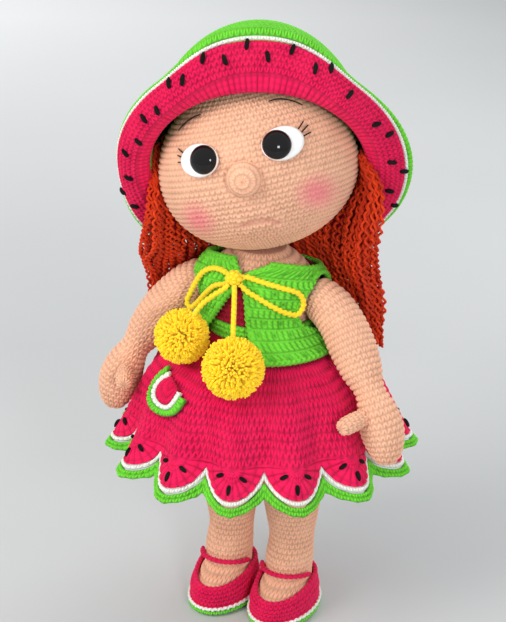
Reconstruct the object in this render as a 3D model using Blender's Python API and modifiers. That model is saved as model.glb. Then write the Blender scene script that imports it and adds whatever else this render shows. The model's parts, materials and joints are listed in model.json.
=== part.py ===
"""Crocheted doll in a watermelon sun hat, dress, bolero and shoes.

Metres, +Z up. The doll faces -Y, its left hand is at +X, and it stands on z = 0
with the origin under the middle of its outline. Skins and garments are shells of
crochet, stuffing fills the skins, and the garments take their size from the body
under them.
"""

import math

import bmesh
import bpy
from mathutils import Matrix, Vector

# Fabric and clearances
SKIN_THICKNESS = 0.0023
CLOTH_THICKNESS = 0.0024
HAT_THICKNESS = 0.0028
SEAM_GAP = 0.0003
STUFFING_GAP = 0.0004
BENT_STUFFING_GAP = 0.0013
BODICE_EASE = 0.0004
VEST_EASE = 0.0007
HAT_EASE = 0.0035

# Legs and feet
LEG_SPACING = 0.0375
LEG_WIDTH = 0.0346
LEG_TOP_HEIGHT = 0.1057
FOOT_BOTTOM_HEIGHT = 0.0042
FOOT_WIDTH = 0.0296
FOOT_LENGTH = 0.0484
FOOT_FORWARD = 0.0095

# Torso
TORSO_BOTTOM_HEIGHT = 0.106
TORSO_TOP_HEIGHT = 0.2145
HIP_WIDTH = 0.075
HIP_DEPTH = 0.060
NECK_ROD_RADIUS = 0.003
NECK_ROD_BOTTOM_HEIGHT = 0.150
NECK_ROD_TOP_HEIGHT = 0.272

# Head
HEAD_HEIGHT_ABOVE_FLOOR = 0.2605
HEAD_ASIDE = -0.003
HEAD_WIDTH = 0.105
HEAD_DEPTH = 0.090
HEAD_HEIGHT = 0.091
HEAD_YAW = math.radians(19)
HEAD_ROLL = math.radians(-14)
HEAD_PITCH = math.radians(-10)
HEAD_CHEEK_SHARE = 0.07
NECK_HOLE_RADIUS = 0.011

# Face
EYE_DIAMETER = 0.0145
EYE_BULGE = 0.0055
EYE_STEM_RADIUS = 0.0016
EYE_STEM_LENGTH = 0.0085
EYE_STEM_CLEARANCE = 0.0003
EYE_ASIDE = 0.018
EYE_ABOVE = 0.0105
EYE_WHITE_WIDTH = 0.020
EYE_WHITE_HEIGHT = 0.0165
EYE_WHITE_ASIDE = 0.0022
EYE_WHITE_THICKNESS = 0.001
WASHER_RADIUS = 0.0045
WASHER_THICKNESS = 0.0011
WASHER_POCKET_DEPTH = 0.008
NOSE_DIAMETER = 0.0165
NOSE_BULGE = 0.0075
NOSE_ABOVE = -0.002

# Arms
SHOULDER_HEIGHT = 0.190
SHOULDER_BACK = -0.001
ARM_GIRTH_RADIUS = 0.0123
ARM_REACH = {"left": 0.0535, "right": 0.052}
ARM_DROP = 0.0815
ARM_FORWARD = 0.021
THUMB_RADIUS = 0.0047
THUMB_LENGTH = 0.0165
ARMHOLE_CLEARANCE = 0.0033
ARMHOLE_DROP = 0.0016

# Dress
BODICE_TOP_HEIGHT = 0.2035
WAIST_HEIGHT = 0.1685
WAISTBAND_HEIGHT = 0.0088
SKIRT_LENGTH = 0.077
SKIRT_HEM_RADIUS = 0.0835
SCALLOPS = 14
SCALLOP_RISE = 0.0145
HEM_RUFFLE = 0.0042
HEM_RIND_WIDTH = 0.0026
HEM_EDGE_WIDTH = 0.0042
POCKET_RADIUS = 0.0145
POCKET_THICKNESS = 0.0024
POCKET_BULGE = 0.002
POCKET_EASE = 0.0012
POCKET_TURN = math.radians(-43)
POCKET_SPIN = math.radians(-46)
POCKET_DROP = 0.025

# Bolero
VEST_HEM_HEIGHT = 0.1625
VEST_TOP_HEIGHT = 0.2125
VEST_HEM_FLARE = 0.0085
VEST_NAPE_DROP = 0.012
VEST_SHOULDER_FLARE = 0.0045

# Tie cord
TIE_CORD_RADIUS = 0.0015
KNOT_RADIUS = 0.0042
POMPOM_RADIUS = {"right": 0.0144, "left": 0.016}
POMPOM_PLACE = {"right": (-0.0274, -0.0418, 0.1727), "left": (0.0101, -0.0577, 0.1681)}

# Shoes
SOLE_THICKNESS = 0.0038
SHOE_WIDTH = 0.0362
SHOE_LENGTH = 0.055
SHOE_THICKNESS = 0.0023
SHOE_EASE = 0.0005
STRAP_RADIUS = 0.0014

# Hat
HAT_YAW = math.radians(24)
HAT_TIP = math.radians(64)
HAT_FORWARD = 0.005
HAT_ASIDE = -0.0015
OPENING_OVAL_SHARE = 0.94
CROWN_RADIUS = 0.0556
CROWN_WALL_LENGTH = 0.036
CROWN_DOME_LENGTH = 0.049
BRIM_PINK_WIDTH = 0.0226
BRIM_RIND_WIDTH = 0.0017
BRIM_EDGE_WIDTH = 0.0034

# Hair
HAIR_END_HEIGHT = 0.152
HAIR_SPLIT_HEIGHT = 0.1985
HAIR_BACK_TOP_HEIGHT = 0.196
HAIR_LOCK_WIDTH = 0.013
HAIR_LOCK_DEPTH = 0.017
HAIR_BACK_WIDTH = 0.070
HAIR_BACK_DEPTH = 0.009
HAIR_BACK_ROOM = 0.0014
HAIR_BACK_BOW_SHARE = 0.25
HAIR_BACK_VEST_SHARE = 0.3

# Counts of facets
BRIM_SIDES = 40
BRIM_ROWS = 5
CROWN_SIDES = 26
CROWN_DOME_ROWS = 6
HEAD_SIDES = 22
HEAD_ROWS = 13
HEAD_STUFFING_SIDES = 16
HEAD_STUFFING_ROWS = 11
VEST_COLUMNS = 26
POCKET_HALF_COLUMNS = 3
HAIR_BACK_HALF_COLUMNS = 3
DOME_STEPS = 4
NOSE_STEPS = 5
KNOT_STEPS = 6
POMPOM_DIVISIONS = 3
STRAP_STEPS = 6
ROUND_SIDES = 20
LIMB_SIDES = 14
SMALL_SIDES = 12
SCALLOP_COLUMNS = 5

# Height share up the leg, width share, depth share, share of the foot's shift
LEG_SHARES = (
    (0.10, 0.76, 0.80, 0.32),
    (0.25, 0.715, 0.725, 0.0),
    (0.42, 0.76, 0.76, 0.0),
    (0.62, 0.86, 0.86, 0.0),
    (0.85, 0.97, 0.97, 0.0),
    (1.0, 1.0, 1.0, 0.0),
)
# Height share of the shoe's height, width share, length share, shift share
FOOT_SHARES = (
    (0.0, 0.80, 0.86, 1.0),
    (0.16, 0.98, 0.98, 1.0),
    (0.42, 1.0, 0.96, 0.96),
    (0.66, 0.92, 0.84, 0.80),
    (0.86, 0.86, 0.67, 0.50),
)
SHOE_HEIGHT = 0.0225

# Height share up the torso, width share and depth share of the hips
TORSO_SHARES = (
    (0.0, 0.90, 0.74),
    (0.05, 0.98, 0.90),
    (0.17, 1.0, 1.0),
    (0.31, 0.94, 0.98),
    (0.45, 0.80, 0.90),
    (0.575, 0.735, 0.85),
    (0.68, 0.735, 0.82),
    (0.78, 0.76, 0.785),
    (0.85, 0.765, 0.735),
    (0.90, 0.70, 0.67),
    (0.945, 0.565, 0.58),
    (0.98, 0.40, 0.48),
    (1.0, 0.335, 0.42),
)

# Share of reach outward, share of drop, share of forward lean, share of girth
ARM_SHARES = (
    (0.0, 0.0, 0.0, 0.70),
    (0.07, 0.0, 0.01, 0.88),
    (0.20, 0.035, 0.06, 0.96),
    (0.36, 0.12, 0.20, 0.98),
    (0.52, 0.25, 0.42, 1.0),
    (0.66, 0.385, 0.62, 0.93),
    (0.77, 0.50, 0.76, 0.73),
    (0.86, 0.61, 0.86, 0.80),
    (0.93, 0.73, 0.92, 0.88),
    (0.98, 0.86, 0.97, 0.72),
    (1.0, 0.96, 1.0, 0.42),
)
THUMB_AT_SHARE = 0.61
THUMB_LEAN_SHARES = (-0.42, -0.90, -0.10)

# Shares of the thumb's length and of its radius there
THUMB_SHARES = ((0.0, 0.9), (0.35, 1.0), (0.75, 0.95), (0.93, 0.7), (1.0, 0.35))

# How a nose, a fold of the skirt and a scallop round off
NOSE_ROUND_SHARE = 0.8
FOLD_GROWTH_SHARE = 1.5
SCALLOP_ROUND_SHARE = 2.2
SKIRT_ROUND_SHARE = 0.25

# Shares of the bolero's height at which its hem flare ends and its shoulders widen
VEST_HEM_SHARE = 0.34
VEST_SHOULDER_SHARE = 0.78
VEST_SHOULDER_SPAN_SHARE = 0.30
VEST_STEP_SHARE = 0.03

# Height of the strap over the shoe, in shares of its radius, and its reach each side
STRAP_RISE_SHARES = (1.2, 1.6)
STRAP_REACH = math.radians(72)

# Shares of the back hair's height, its distance out and its width there
HAIR_BACK_SHARES = (
    (0.0, 0.0244, 0.95),
    (0.35, 0.0055, 1.0),
    (0.75, 0.0, 1.0),
    (1.0, 0.0, 0.92),
)

# Share of the skirt's length, share of its flare
SKIRT_SHARES = (
    (0.0, 0.0),
    (0.035, 0.0),
    (0.08, 0.095),
    (0.13, 0.22),
    (0.214, 0.38),
    (0.33, 0.535),
    (0.45, 0.62),
    (0.59, 0.70),
    (0.72, 0.775),
    (0.84, 0.86),
    (1.0, 1.0),
)
SKIRT_ROW_SHARES = (0.0, 0.03, 0.11, 0.25, 0.46, 0.72, 1.0)

# Share of the vest's height, degrees of the right and left front edges from the front
VEST_EDGE_SHARES = (
    (0.0, -48, 27),
    (0.16, -42, 17),
    (0.34, -33, 10),
    (0.56, -17, 7),
    (0.72, -7, 4),
    (0.86, -3, 3),
    (1.0, -17, 34),
)
# Height share and half width share of the pocket's rows, from its round bottom up
POCKET_SHARES = (
    (-1.0, 0.26),
    (-0.9, 0.52),
    (-0.66, 0.78),
    (-0.3, 0.97),
    (0.05, 1.0),
    (0.4, 0.90),
)
VEST_ROW_SHARES = (0.0, 0.14, 0.32, 0.50, 0.66, 0.80, 0.92, 1.0)

# Angle from the top of the opening to the doll's left in degrees, then the degrees
# that the brim leans back where it starts and at its outer edge
BRIM_ROLL_SHARES = (
    (-180, 40, 72),
    (-160, 31, 73),
    (-135, -35, 40),
    (-90, -50, 110),
    (-45, -50, 110),
    (0, 30, 39),
    (45, -50, 110),
    (90, -50, 51),
    (135, -35, 50),
    (180, 40, 72),
)

# Points chosen by hand for the tie cord, in metres
BOW_LOOP_LEFT = (
    (0.0033, -0.0271, 0.2062),
    (0.0089, -0.0271, 0.2055),
    (0.0139, -0.0264, 0.2044),
    (0.0189, -0.0253, 0.2032),
    (0.0235, -0.0234, 0.2017),
    (0.0275, -0.0215, 0.2005),
    (0.0304, -0.0194, 0.1984),
    (0.0319, -0.0179, 0.1948),
    (0.0315, -0.0175, 0.1900),
    (0.0294, -0.0190, 0.1866),
    (0.0256, -0.0228, 0.1878),
    (0.0187, -0.0270, 0.1920),
    (0.0109, -0.0291, 0.1965),
    (0.0040, -0.0297, 0.2001),
)
BOW_LOOP_RIGHT = (
    (-0.0105, -0.0267, 0.2074),
    (-0.0182, -0.0240, 0.2065),
    (-0.0240, -0.0229, 0.2029),
    (-0.0284, -0.0222, 0.1966),
    (-0.0319, -0.0221, 0.1896),
    (-0.0336, -0.0232, 0.1843),
    (-0.0308, -0.0253, 0.1822),
    (-0.0265, -0.0260, 0.1858),
    (-0.0215, -0.0262, 0.1919),
    (-0.0140, -0.0280, 0.1990),
    (-0.0080, -0.0290, 0.2012),
)
TAIL_RIGHT = (
    (-0.0052, -0.0341, 0.2016),
    (-0.0105, -0.0366, 0.1975),
    (-0.0165, -0.0388, 0.1920),
)
TAIL_LEFT = (
    (-0.0002, -0.0341, 0.2012),
    (0.0010, -0.0368, 0.1968),
    (0.0026, -0.0406, 0.1916),
    (0.0042, -0.0446, 0.1864),
)
KNOT_PLACE = (-0.0023, -0.0302, 0.2059)

# Places the hair locks pass through: shares of the head's half width and a height
LOCK_SHARES = {
    "left": ((0.8781, 0.105), (1.09, 0.02), (1.11, 0.08), (1.08, 0.20)),
    "right": ((-0.8112, -0.6135), (-0.975, -0.54), (-1.08, -0.36), (-1.229, -0.10)),
}
LOCK_END_SHARES = {
    "left": ((1.08, 0.20), (1.07, 0.40), (1.04, 0.45)),
    "right": ((-1.229, -0.10), (-1.31, 0.22), (-1.30, 0.24)),
}
LOCK_TOP_HEIGHT = 0.241
LOCK_HEIGHT_SHARES = (1.0, 0.5, 0.2, 0.0)
LOCK_SIZE_SHARES = (0.5, 0.82, 0.95, 1.0)


def material(name, colour, roughness=0.85, metallic=0.0):
    """A plain Principled material."""
    made = bpy.data.materials.new(name)
    made.use_nodes = True
    shader = made.node_tree.nodes["Principled BSDF"]
    shader.inputs["Base Color"].default_value = (*colour, 1.0)
    shader.inputs["Roughness"].default_value = roughness
    shader.inputs["Metallic"].default_value = metallic
    made.diffuse_color = (*colour, 1.0)
    return made


def collection(name):
    made = bpy.data.collections.new(name)
    bpy.context.scene.collection.children.link(made)
    return made


def ellipse(centre, half_x, half_y, sides):
    """Points of a level ellipse, anticlockwise from above."""
    turn = math.tau / sides
    return [
        centre + Vector((half_x * math.cos(k * turn), half_y * math.sin(k * turn), 0.0))
        for k in range(sides)
    ]


def circle_across(centre, along, aside, radius, sides):
    """Points of a circle square to a direction."""
    along = along.normalized()
    right = (aside - along * aside.dot(along)).normalized()
    forth = along.cross(right)
    turn = math.tau / sides
    return [
        centre + radius * (math.cos(k * turn) * right + math.sin(k * turn) * forth)
        for k in range(sides)
    ]


def mesh_object(name, work, look, home):
    mesh = bpy.data.meshes.new(name)
    work.to_mesh(mesh)
    work.free()
    mesh.shade_smooth()
    made = bpy.data.objects.new(name, mesh)
    made.data.materials.append(look)
    home.objects.link(made)
    return made


def loft(name, rings, look, home, bottom=True, top=True):
    """A skin through rings of equal count, closed by flat or pointed ends."""
    work = bmesh.new()
    rows = [[work.verts.new(point) for point in ring] for ring in rings]
    sides = len(rows[0])
    for low, high in zip(rows, rows[1:]):
        for k in range(sides):
            after = (k + 1) % sides
            work.faces.new((low[k], low[after], high[after], high[k]))
    if bottom:
        work.faces.new(tuple(reversed(rows[0])))
    if top:
        work.faces.new(tuple(rows[-1]))
    return mesh_object(name, work, look, home)


def sheet(name, rows, look, home, around=False):
    """An open surface through rows of points."""
    work = bmesh.new()
    grid = [[work.verts.new(point) for point in row] for row in rows]
    count = len(grid[0])
    last = count if around else count - 1
    for low, high in zip(grid, grid[1:]):
        for k in range(last):
            after = (k + 1) % count
            work.faces.new((low[k], low[after], high[after], high[k]))
    return mesh_object(name, work, look, home)


def thicken(made, thickness, outward=False):
    """Gives an open surface its fabric thickness."""
    solid = made.modifiers.new("Fabric", "SOLIDIFY")
    solid.thickness = thickness
    solid.offset = 1.0 if outward else -1.0
    solid.use_even_offset = True
    return made


def cut(made, cutter):
    """Takes a cutter out of a piece."""
    step = made.modifiers.new("Cut", "BOOLEAN")
    step.operation = "DIFFERENCE"
    step.object = cutter
    return made


def cutter_cylinder(name, centre, along, radius, length, home):
    """A cylinder that only cuts, centred on a point."""
    work = bmesh.new()
    bmesh.ops.create_cone(
        work,
        cap_ends=True,
        segments=LIMB_SIDES,
        radius1=radius,
        radius2=radius,
        depth=length,
    )
    made = mesh_object(name, work, material(name, (0.5, 0.5, 0.5)), home)
    made.matrix_world = aim(centre, along)
    made.hide_render = True
    made.display_type = "WIRE"
    return made


def aim(centre, along):
    """A matrix at a point whose +Z lies along a direction."""
    turn = Vector(along).to_track_quat("Z", "Y").to_matrix().to_4x4()
    return Matrix.Translation(centre) @ turn


def turned(name, profile, look, home, place, sides):
    """A solid of revolution from a profile that runs down its outer side."""
    mesh = bpy.data.meshes.new(name)
    points = [(radius, 0.0, height) for radius, height in profile]
    mesh.from_pydata(points, [(k, k + 1) for k in range(len(points) - 1)], [])
    made = bpy.data.objects.new(name, mesh)
    made.data.materials.append(look)
    home.objects.link(made)
    screw = made.modifiers.new("Turn", "SCREW")
    screw.steps = sides
    screw.render_steps = sides
    screw.use_merge_vertices = True
    screw.merge_threshold = 0.00001
    screw.use_smooth_shade = True
    made.matrix_world = place
    return made


def tube(name, points, radius, look, home):
    """A round cord along a smooth curve through chosen points."""
    smooth = smooth_path([Vector(point) for point in points])
    data = bpy.data.curves.new(name, "CURVE")
    data.dimensions = "3D"
    data.bevel_depth = radius
    data.bevel_resolution = 2
    data.use_fill_caps = True
    spline = data.splines.new("POLY")
    spline.points.add(len(smooth) - 1)
    for spot, point in zip(spline.points, smooth):
        spot.co = (*point, 1.0)
    made = bpy.data.objects.new(name, data)
    data.materials.append(look)
    home.objects.link(made)
    return made


def smooth_path(points, between=2):
    """Catmull-Rom points between the chosen ones."""
    padded = [points[0] * 2 - points[1], *points, points[-1] * 2 - points[-2]]
    path = []
    for k in range(1, len(padded) - 2):
        a, b, c, d = padded[k - 1 : k + 3]
        for step in range(between):
            t = step / between
            path.append(
                b
                + (c - a) * (t / 2)
                + (a * 2 - b * 5 + c * 4 - d) * (t**2 / 2)
                + (b * 3 - a - c * 3 + d) * (t**3 / 2)
            )
    path.append(points[-1])
    return path


def read_shares(table, at):
    """The values of a table of shares at a place between its rows."""
    if at <= table[0][0]:
        return table[0][1:]
    for low, high in zip(table, table[1:]):
        if at <= high[0]:
            t = (at - low[0]) / (high[0] - low[0])
            return tuple(a + (b - a) * t for a, b in zip(low[1:], high[1:]))
    return table[-1][1:]


def torso_half(height):
    """Half width and half depth of the torso's skin at a height."""
    at = (height - TORSO_BOTTOM_HEIGHT) / (TORSO_TOP_HEIGHT - TORSO_BOTTOM_HEIGHT)
    wide, deep = read_shares(TORSO_SHARES, at)
    return HIP_WIDTH / 2 * wide, HIP_DEPTH / 2 * deep


def torso_levels(low, high):
    """The torso's own levels between two heights, with both ends."""
    tall = TORSO_TOP_HEIGHT - TORSO_BOTTOM_HEIGHT
    inner = [TORSO_BOTTOM_HEIGHT + row[0] * tall for row in TORSO_SHARES]
    return [low, *[z for z in inner if low + SEAM_GAP < z < high - SEAM_GAP], high]


def grown(sections, distance):
    """Sections moved out by a distance square to their sloping sides.

    A section is (height, half width, half depth, shift back).
    """
    moved = []
    for k, (height, half_x, half_y, shift) in enumerate(sections):
        sides = (half_x, half_y - shift, half_y + shift)
        steep = [0.0, 0.0, 0.0]
        for other in (max(k - 1, 0), min(k + 1, len(sections) - 1)):
            next_height, next_x, next_y, next_shift = sections[other]
            rise = abs(next_height - height)
            if rise > 0:
                next_sides = (next_x, next_y - next_shift, next_y + next_shift)
                for side in range(3):
                    slope = abs(next_sides[side] - sides[side]) / rise
                    steep[side] = max(steep[side], slope)
        out, front, back = (
            side + distance * math.hypot(1, slope) for side, slope in zip(sides, steep)
        )
        moved.append((height, out, (front + back) / 2, (back - front) / 2))
    return moved


def section_rings(sections, sides, across=0.0):
    """Level ellipses for a list of sections, about an upright axis at x = across."""
    return [
        ellipse(Vector((across, shift, height)), half_x, half_y, sides)
        for height, half_x, half_y, shift in sections
    ]


def torso_sections(low, high, distance):
    """Sections that lie a distance outside the torso's skin."""
    base = [(z, *torso_half(z), 0.0) for z in torso_levels(low, high)]
    return grown(base, distance)


def leg_sections():
    """Sections of a leg and its foot, from the sole of the foot up."""
    foot_tall = SHOE_HEIGHT - FOOT_BOTTOM_HEIGHT
    sections = [
        (
            FOOT_BOTTOM_HEIGHT + at * foot_tall,
            FOOT_WIDTH / 2 * wide,
            FOOT_LENGTH / 2 * long,
            -FOOT_FORWARD * shift,
        )
        for at, wide, long, shift in FOOT_SHARES
    ]
    leg_tall = LEG_TOP_HEIGHT - SHOE_HEIGHT
    for at, wide, deep, shift in LEG_SHARES:
        sections.append(
            (
                SHOE_HEIGHT + at * leg_tall,
                LEG_WIDTH / 2 * wide,
                LEG_WIDTH / 2 * deep,
                -FOOT_FORWARD * shift,
            )
        )
    return sections


def head_pose():
    centre = Matrix.Translation((HEAD_ASIDE, 0.0, HEAD_HEIGHT_ABOVE_FLOOR))
    yaw = Matrix.Rotation(HEAD_YAW, 4, "Z")
    roll = Matrix.Rotation(HEAD_ROLL, 4, "Y")
    pitch = Matrix.Rotation(HEAD_PITCH, 4, "X")
    return centre @ yaw @ roll @ pitch


def head_point(direction, distance=0.0):
    """The head's surface in a direction of its own frame, moved out by a distance."""
    wide = HEAD_WIDTH / 2 * (1 - HEAD_CHEEK_SHARE * direction.z) + distance
    deep = HEAD_DEPTH / 2 + distance
    tall = HEAD_HEIGHT / 2 + distance
    return Vector((wide * direction.x, deep * direction.y, tall * direction.z))


def head_spot(aside, above, distance=0.0):
    """The point of the face at a place seen from the front, and the way out of it."""
    share_x = aside / (HEAD_WIDTH / 2)
    share_z = above / (HEAD_HEIGHT / 2)
    forward = math.sqrt(max(1 - share_x**2 - share_z**2, 0.0))
    direction = Vector((share_x, -forward, share_z))
    outward = Vector(
        (
            share_x / (HEAD_WIDTH / 2),
            -forward / (HEAD_DEPTH / 2),
            share_z / (HEAD_HEIGHT / 2),
        )
    ).normalized()
    return head_point(direction) + outward * distance, outward


def head_shell(name, distance, sides, rings, look, home):
    """A ball shaped as the head, in the pose of the head."""
    work = bmesh.new()
    bmesh.ops.create_uvsphere(work, u_segments=sides, v_segments=rings, radius=1.0)
    for vertex in work.verts:
        vertex.co = head_point(vertex.co.normalized(), distance)
    made = mesh_object(name, work, look, home)
    made.matrix_world = head_pose()
    return made


def hat_pose():
    """The hat's own frame: +Z into the crown, -Y to the top of the opening."""
    yaw = Matrix.Rotation(HAT_YAW, 4, "Z")
    tip = Matrix.Rotation(-HAT_TIP, 4, "X")
    turn = yaw @ tip
    moved = turn @ Vector((HAT_ASIDE, 0.0, -HAT_FORWARD))
    centre = Vector((HEAD_ASIDE, 0.0, HEAD_HEIGHT_ABOVE_FLOOR)) + moved
    return Matrix.Translation(centre) @ turn


def hat_inner_radius():
    return HEAD_WIDTH / 2 + HAT_EASE


def make_body(looks, home, cutters):
    """Torso, legs and what fills them."""
    low, high = TORSO_BOTTOM_HEIGHT, TORSO_TOP_HEIGHT
    skin = torso_sections(low, high, 0.0)
    torso = loft("torso_skin", section_rings(skin, ROUND_SIDES), looks["skin"], home, top=False)
    thicken(torso, SKIN_THICKNESS)

    inset = SKIN_THICKNESS + STUFFING_GAP
    inner = grown(skin, -inset)
    inner[0] = (low + inset, *inner[0][1:])
    filling = loft(
        "torso_stuffing", section_rings(inner, ROUND_SIDES), looks["stuffing"], home
    )
    rod_middle = (NECK_ROD_TOP_HEIGHT + NECK_ROD_BOTTOM_HEIGHT) / 2
    rod_length = NECK_ROD_TOP_HEIGHT - NECK_ROD_BOTTOM_HEIGHT
    bore = cutter_cylinder(
        "neck_rod_bore",
        (0.0, 0.0, rod_middle),
        (0.0, 0.0, 1.0),
        NECK_ROD_RADIUS + STUFFING_GAP,
        rod_length + 2 * STUFFING_GAP,
        cutters,
    )
    cut(filling, bore)
    rod_profile = (
        (0.0, rod_length / 2),
        (NECK_ROD_RADIUS, rod_length / 2),
        (NECK_ROD_RADIUS, -rod_length / 2),
        (0.0, -rod_length / 2),
    )
    place = Matrix.Translation((0.0, 0.0, rod_middle))
    turned("neck_rod", rod_profile, looks["wood"], home, place, SMALL_SIDES)

    for side, sign in (("left", 1), ("right", -1)):
        across = sign * LEG_SPACING / 2
        sections = leg_sections()
        leg = loft(
            f"leg_{side}_skin",
            section_rings(sections, LIMB_SIDES, across),
            looks["skin"],
            home,
            top=False,
        )
        thicken(leg, SKIN_THICKNESS)
        inner = grown(sections, -inset)
        inner[0] = (sections[0][0] + inset, *inner[0][1:])
        inner = [section for section in inner if section[0] >= inner[0][0]]
        loft(
            f"leg_{side}_stuffing",
            section_rings(inner, LIMB_SIDES, across),
            looks["stuffing"],
            home,
        )
    return bore


def make_head(looks, home, cutters, bore):
    """Head, face and what lies inside."""
    skin = head_shell("head_skin", 0.0, HEAD_SIDES, HEAD_ROWS, looks["skin"], home)
    thicken(skin, SKIN_THICKNESS)
    chin_height = HEAD_HEIGHT_ABOVE_FLOOR - HEAD_HEIGHT / 2
    neck_hole = cutter_cylinder(
        "neck_hole",
        (0.0, 0.0, chin_height),
        (0.0, 0.0, 1.0),
        NECK_HOLE_RADIUS,
        HEAD_HEIGHT / 3,
        cutters,
    )
    cut(skin, neck_hole)
    inset = SKIN_THICKNESS + BENT_STUFFING_GAP
    filling = head_shell(
        "head_stuffing",
        -inset,
        HEAD_STUFFING_SIDES,
        HEAD_STUFFING_ROWS,
        looks["stuffing"],
        home,
    )
    cut(filling, bore)

    pose = head_pose()
    for side, sign in (("left", 1), ("right", -1)):
        spot, outward = head_spot(sign * EYE_ASIDE, EYE_ABOVE)
        front = pose @ (spot + outward * (2 * SEAM_GAP + EYE_WHITE_THICKNESS + SEAM_GAP))
        way = pose.to_3x3() @ outward
        radius = EYE_DIAMETER / 2
        profile = [(0.0, EYE_BULGE)]
        for k in range(1, DOME_STEPS + 1):
            angle = math.pi / 2 * k / DOME_STEPS
            profile.append((radius * math.sin(angle), EYE_BULGE * math.cos(angle)))
        profile += [(EYE_STEM_RADIUS, 0.0), (EYE_STEM_RADIUS, -EYE_STEM_LENGTH), (0.0, -EYE_STEM_LENGTH)]
        turned(f"eye_{side}", profile, looks["eye"], home, aim(front, way), LIMB_SIDES)

        washer_back = EYE_STEM_LENGTH - WASHER_THICKNESS
        hole = EYE_STEM_RADIUS + EYE_STEM_CLEARANCE
        ring = (
            (hole, WASHER_THICKNESS),
            (WASHER_RADIUS, WASHER_THICKNESS),
            (WASHER_RADIUS, 0.0),
            (hole, 0.0),
            (hole, WASHER_THICKNESS),
        )
        turned(
            f"eye_washer_{side}",
            ring,
            looks["washer"],
            home,
            aim(front - way * washer_back, way),
            SMALL_SIDES,
        )
        stem_hole = cutter_cylinder(
            f"eye_hole_{side}", front, way, hole, WASHER_POCKET_DEPTH * 2, cutters
        )
        cut(skin, stem_hole)
        pocket = cutter_cylinder(
            f"eye_pocket_{side}",
            front,
            way,
            WASHER_RADIUS + STUFFING_GAP,
            (EYE_STEM_LENGTH + STUFFING_GAP) * 2,
            cutters,
        )
        cut(filling, pocket)
        make_eye_white(side, sign, hole, looks, home)

    spot, outward = head_spot(0.0, NOSE_ABOVE)
    place = aim(pose @ (spot + outward * SEAM_GAP), pose.to_3x3() @ outward)
    radius = NOSE_DIAMETER / 2
    profile = []
    for k in range(NOSE_STEPS + 1):
        angle = math.pi / 2 * k / NOSE_STEPS
        bulge = NOSE_BULGE * math.cos(angle) ** NOSE_ROUND_SHARE
        profile.append((radius * math.sin(angle), bulge))
    profile.append((0.0, 0.0))
    turned("nose", profile, looks["skin"], home, place, LIMB_SIDES)


def make_eye_white(side, sign, hole, looks, home):
    """A felt oval laid on the curved face under the eye, holed for its stem."""
    rows = []
    for share in (1.0, 0.55, 0.0):
        row = []
        for k in range(LIMB_SIDES):
            angle = math.tau * k / LIMB_SIDES
            round_x = hole * math.cos(angle)
            round_z = hole * math.sin(angle)
            oval_x = EYE_WHITE_WIDTH / 2 * math.cos(angle) + EYE_WHITE_ASIDE
            oval_z = EYE_WHITE_HEIGHT / 2 * math.sin(angle)
            aside = EYE_ASIDE + round_x + (oval_x - round_x) * share
            above = EYE_ABOVE + round_z + (oval_z - round_z) * share
            spot, outward = head_spot(sign * aside, above, 2 * SEAM_GAP)
            row.append(spot)
        rows.append(row if sign > 0 else list(reversed(row)))
    made = sheet(f"eye_white_{side}", rows, looks["felt"], home, around=True)
    made.matrix_world = head_pose()
    thicken(made, EYE_WHITE_THICKNESS, outward=True)


def arm_path(side):
    """Centres and radii down an arm, with the outward direction to the side."""
    sign = 1 if side == "left" else -1
    root_x = torso_half(SHOULDER_HEIGHT)[0] + SEAM_GAP
    points = []
    for out, drop, forward, girth in ARM_SHARES:
        points.append(
            (
                Vector(
                    (
                        sign * (root_x + out * ARM_REACH[side]),
                        SHOULDER_BACK - forward * ARM_FORWARD,
                        SHOULDER_HEIGHT - drop * ARM_DROP,
                    )
                ),
                girth * ARM_GIRTH_RADIUS,
            )
        )
    return points


def arm_rings(side, inset, sides):
    """Rings square to the arm's path."""
    path = arm_path(side)
    rings = []
    for k, (centre, radius) in enumerate(path):
        before = path[max(k - 1, 0)][0]
        after = path[min(k + 1, len(path) - 1)][0]
        along = after - before
        if k == 0:
            along = Vector((along.x, 0.0, 0.0))
        rings.append(
            circle_across(centre, along, Vector((0.0, 1.0, 0.0)), radius - inset, sides)
        )
    return rings


def make_arms(looks, home):
    """Arms and thumbs, each arm on an empty at its shoulder."""
    for side, sign in (("left", 1), ("right", -1)):
        pivot = bpy.data.objects.new(f"arm_{side}_pivot", None)
        home.objects.link(pivot)
        root_x = torso_half(SHOULDER_HEIGHT)[0] + SEAM_GAP
        pivot.location = (sign * root_x, SHOULDER_BACK, SHOULDER_HEIGHT)
        skin = loft(
            f"arm_{side}_skin",
            arm_rings(side, 0.0, LIMB_SIDES),
            looks["skin"],
            home,
            bottom=False,
        )
        thicken(skin, SKIN_THICKNESS)
        inset = SKIN_THICKNESS + BENT_STUFFING_GAP
        inner = arm_rings(side, inset, LIMB_SIDES)[:-1]
        filling = loft(f"arm_{side}_stuffing", inner, looks["stuffing"], home)

        path = arm_path(side)
        base = path[0][0]
        for (low, radius), (high, _) in zip(path, path[1:]):
            if (SHOULDER_HEIGHT - high.z) / ARM_DROP >= THUMB_AT_SHARE:
                base = low
                break
        lean = Vector(
            (THUMB_LEAN_SHARES[0] * sign, THUMB_LEAN_SHARES[1], THUMB_LEAN_SHARES[2])
        ).normalized()
        start = base + lean * (radius + SEAM_GAP * 3)
        rings = []
        for along, width in THUMB_SHARES:
            rings.append(
                circle_across(
                    start + lean * (along * THUMB_LENGTH),
                    lean,
                    Vector((0.0, 0.0, 1.0)),
                    width * THUMB_RADIUS,
                    SMALL_SIDES,
                )
            )
        thumb = loft(f"thumb_{side}", rings, looks["skin"], home)
        for piece in (skin, filling, thumb):
            piece.parent = pivot
            piece.matrix_parent_inverse = pivot_inverse(pivot)


def pivot_inverse(pivot):
    return Matrix.Translation(pivot.location).inverted()


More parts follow.
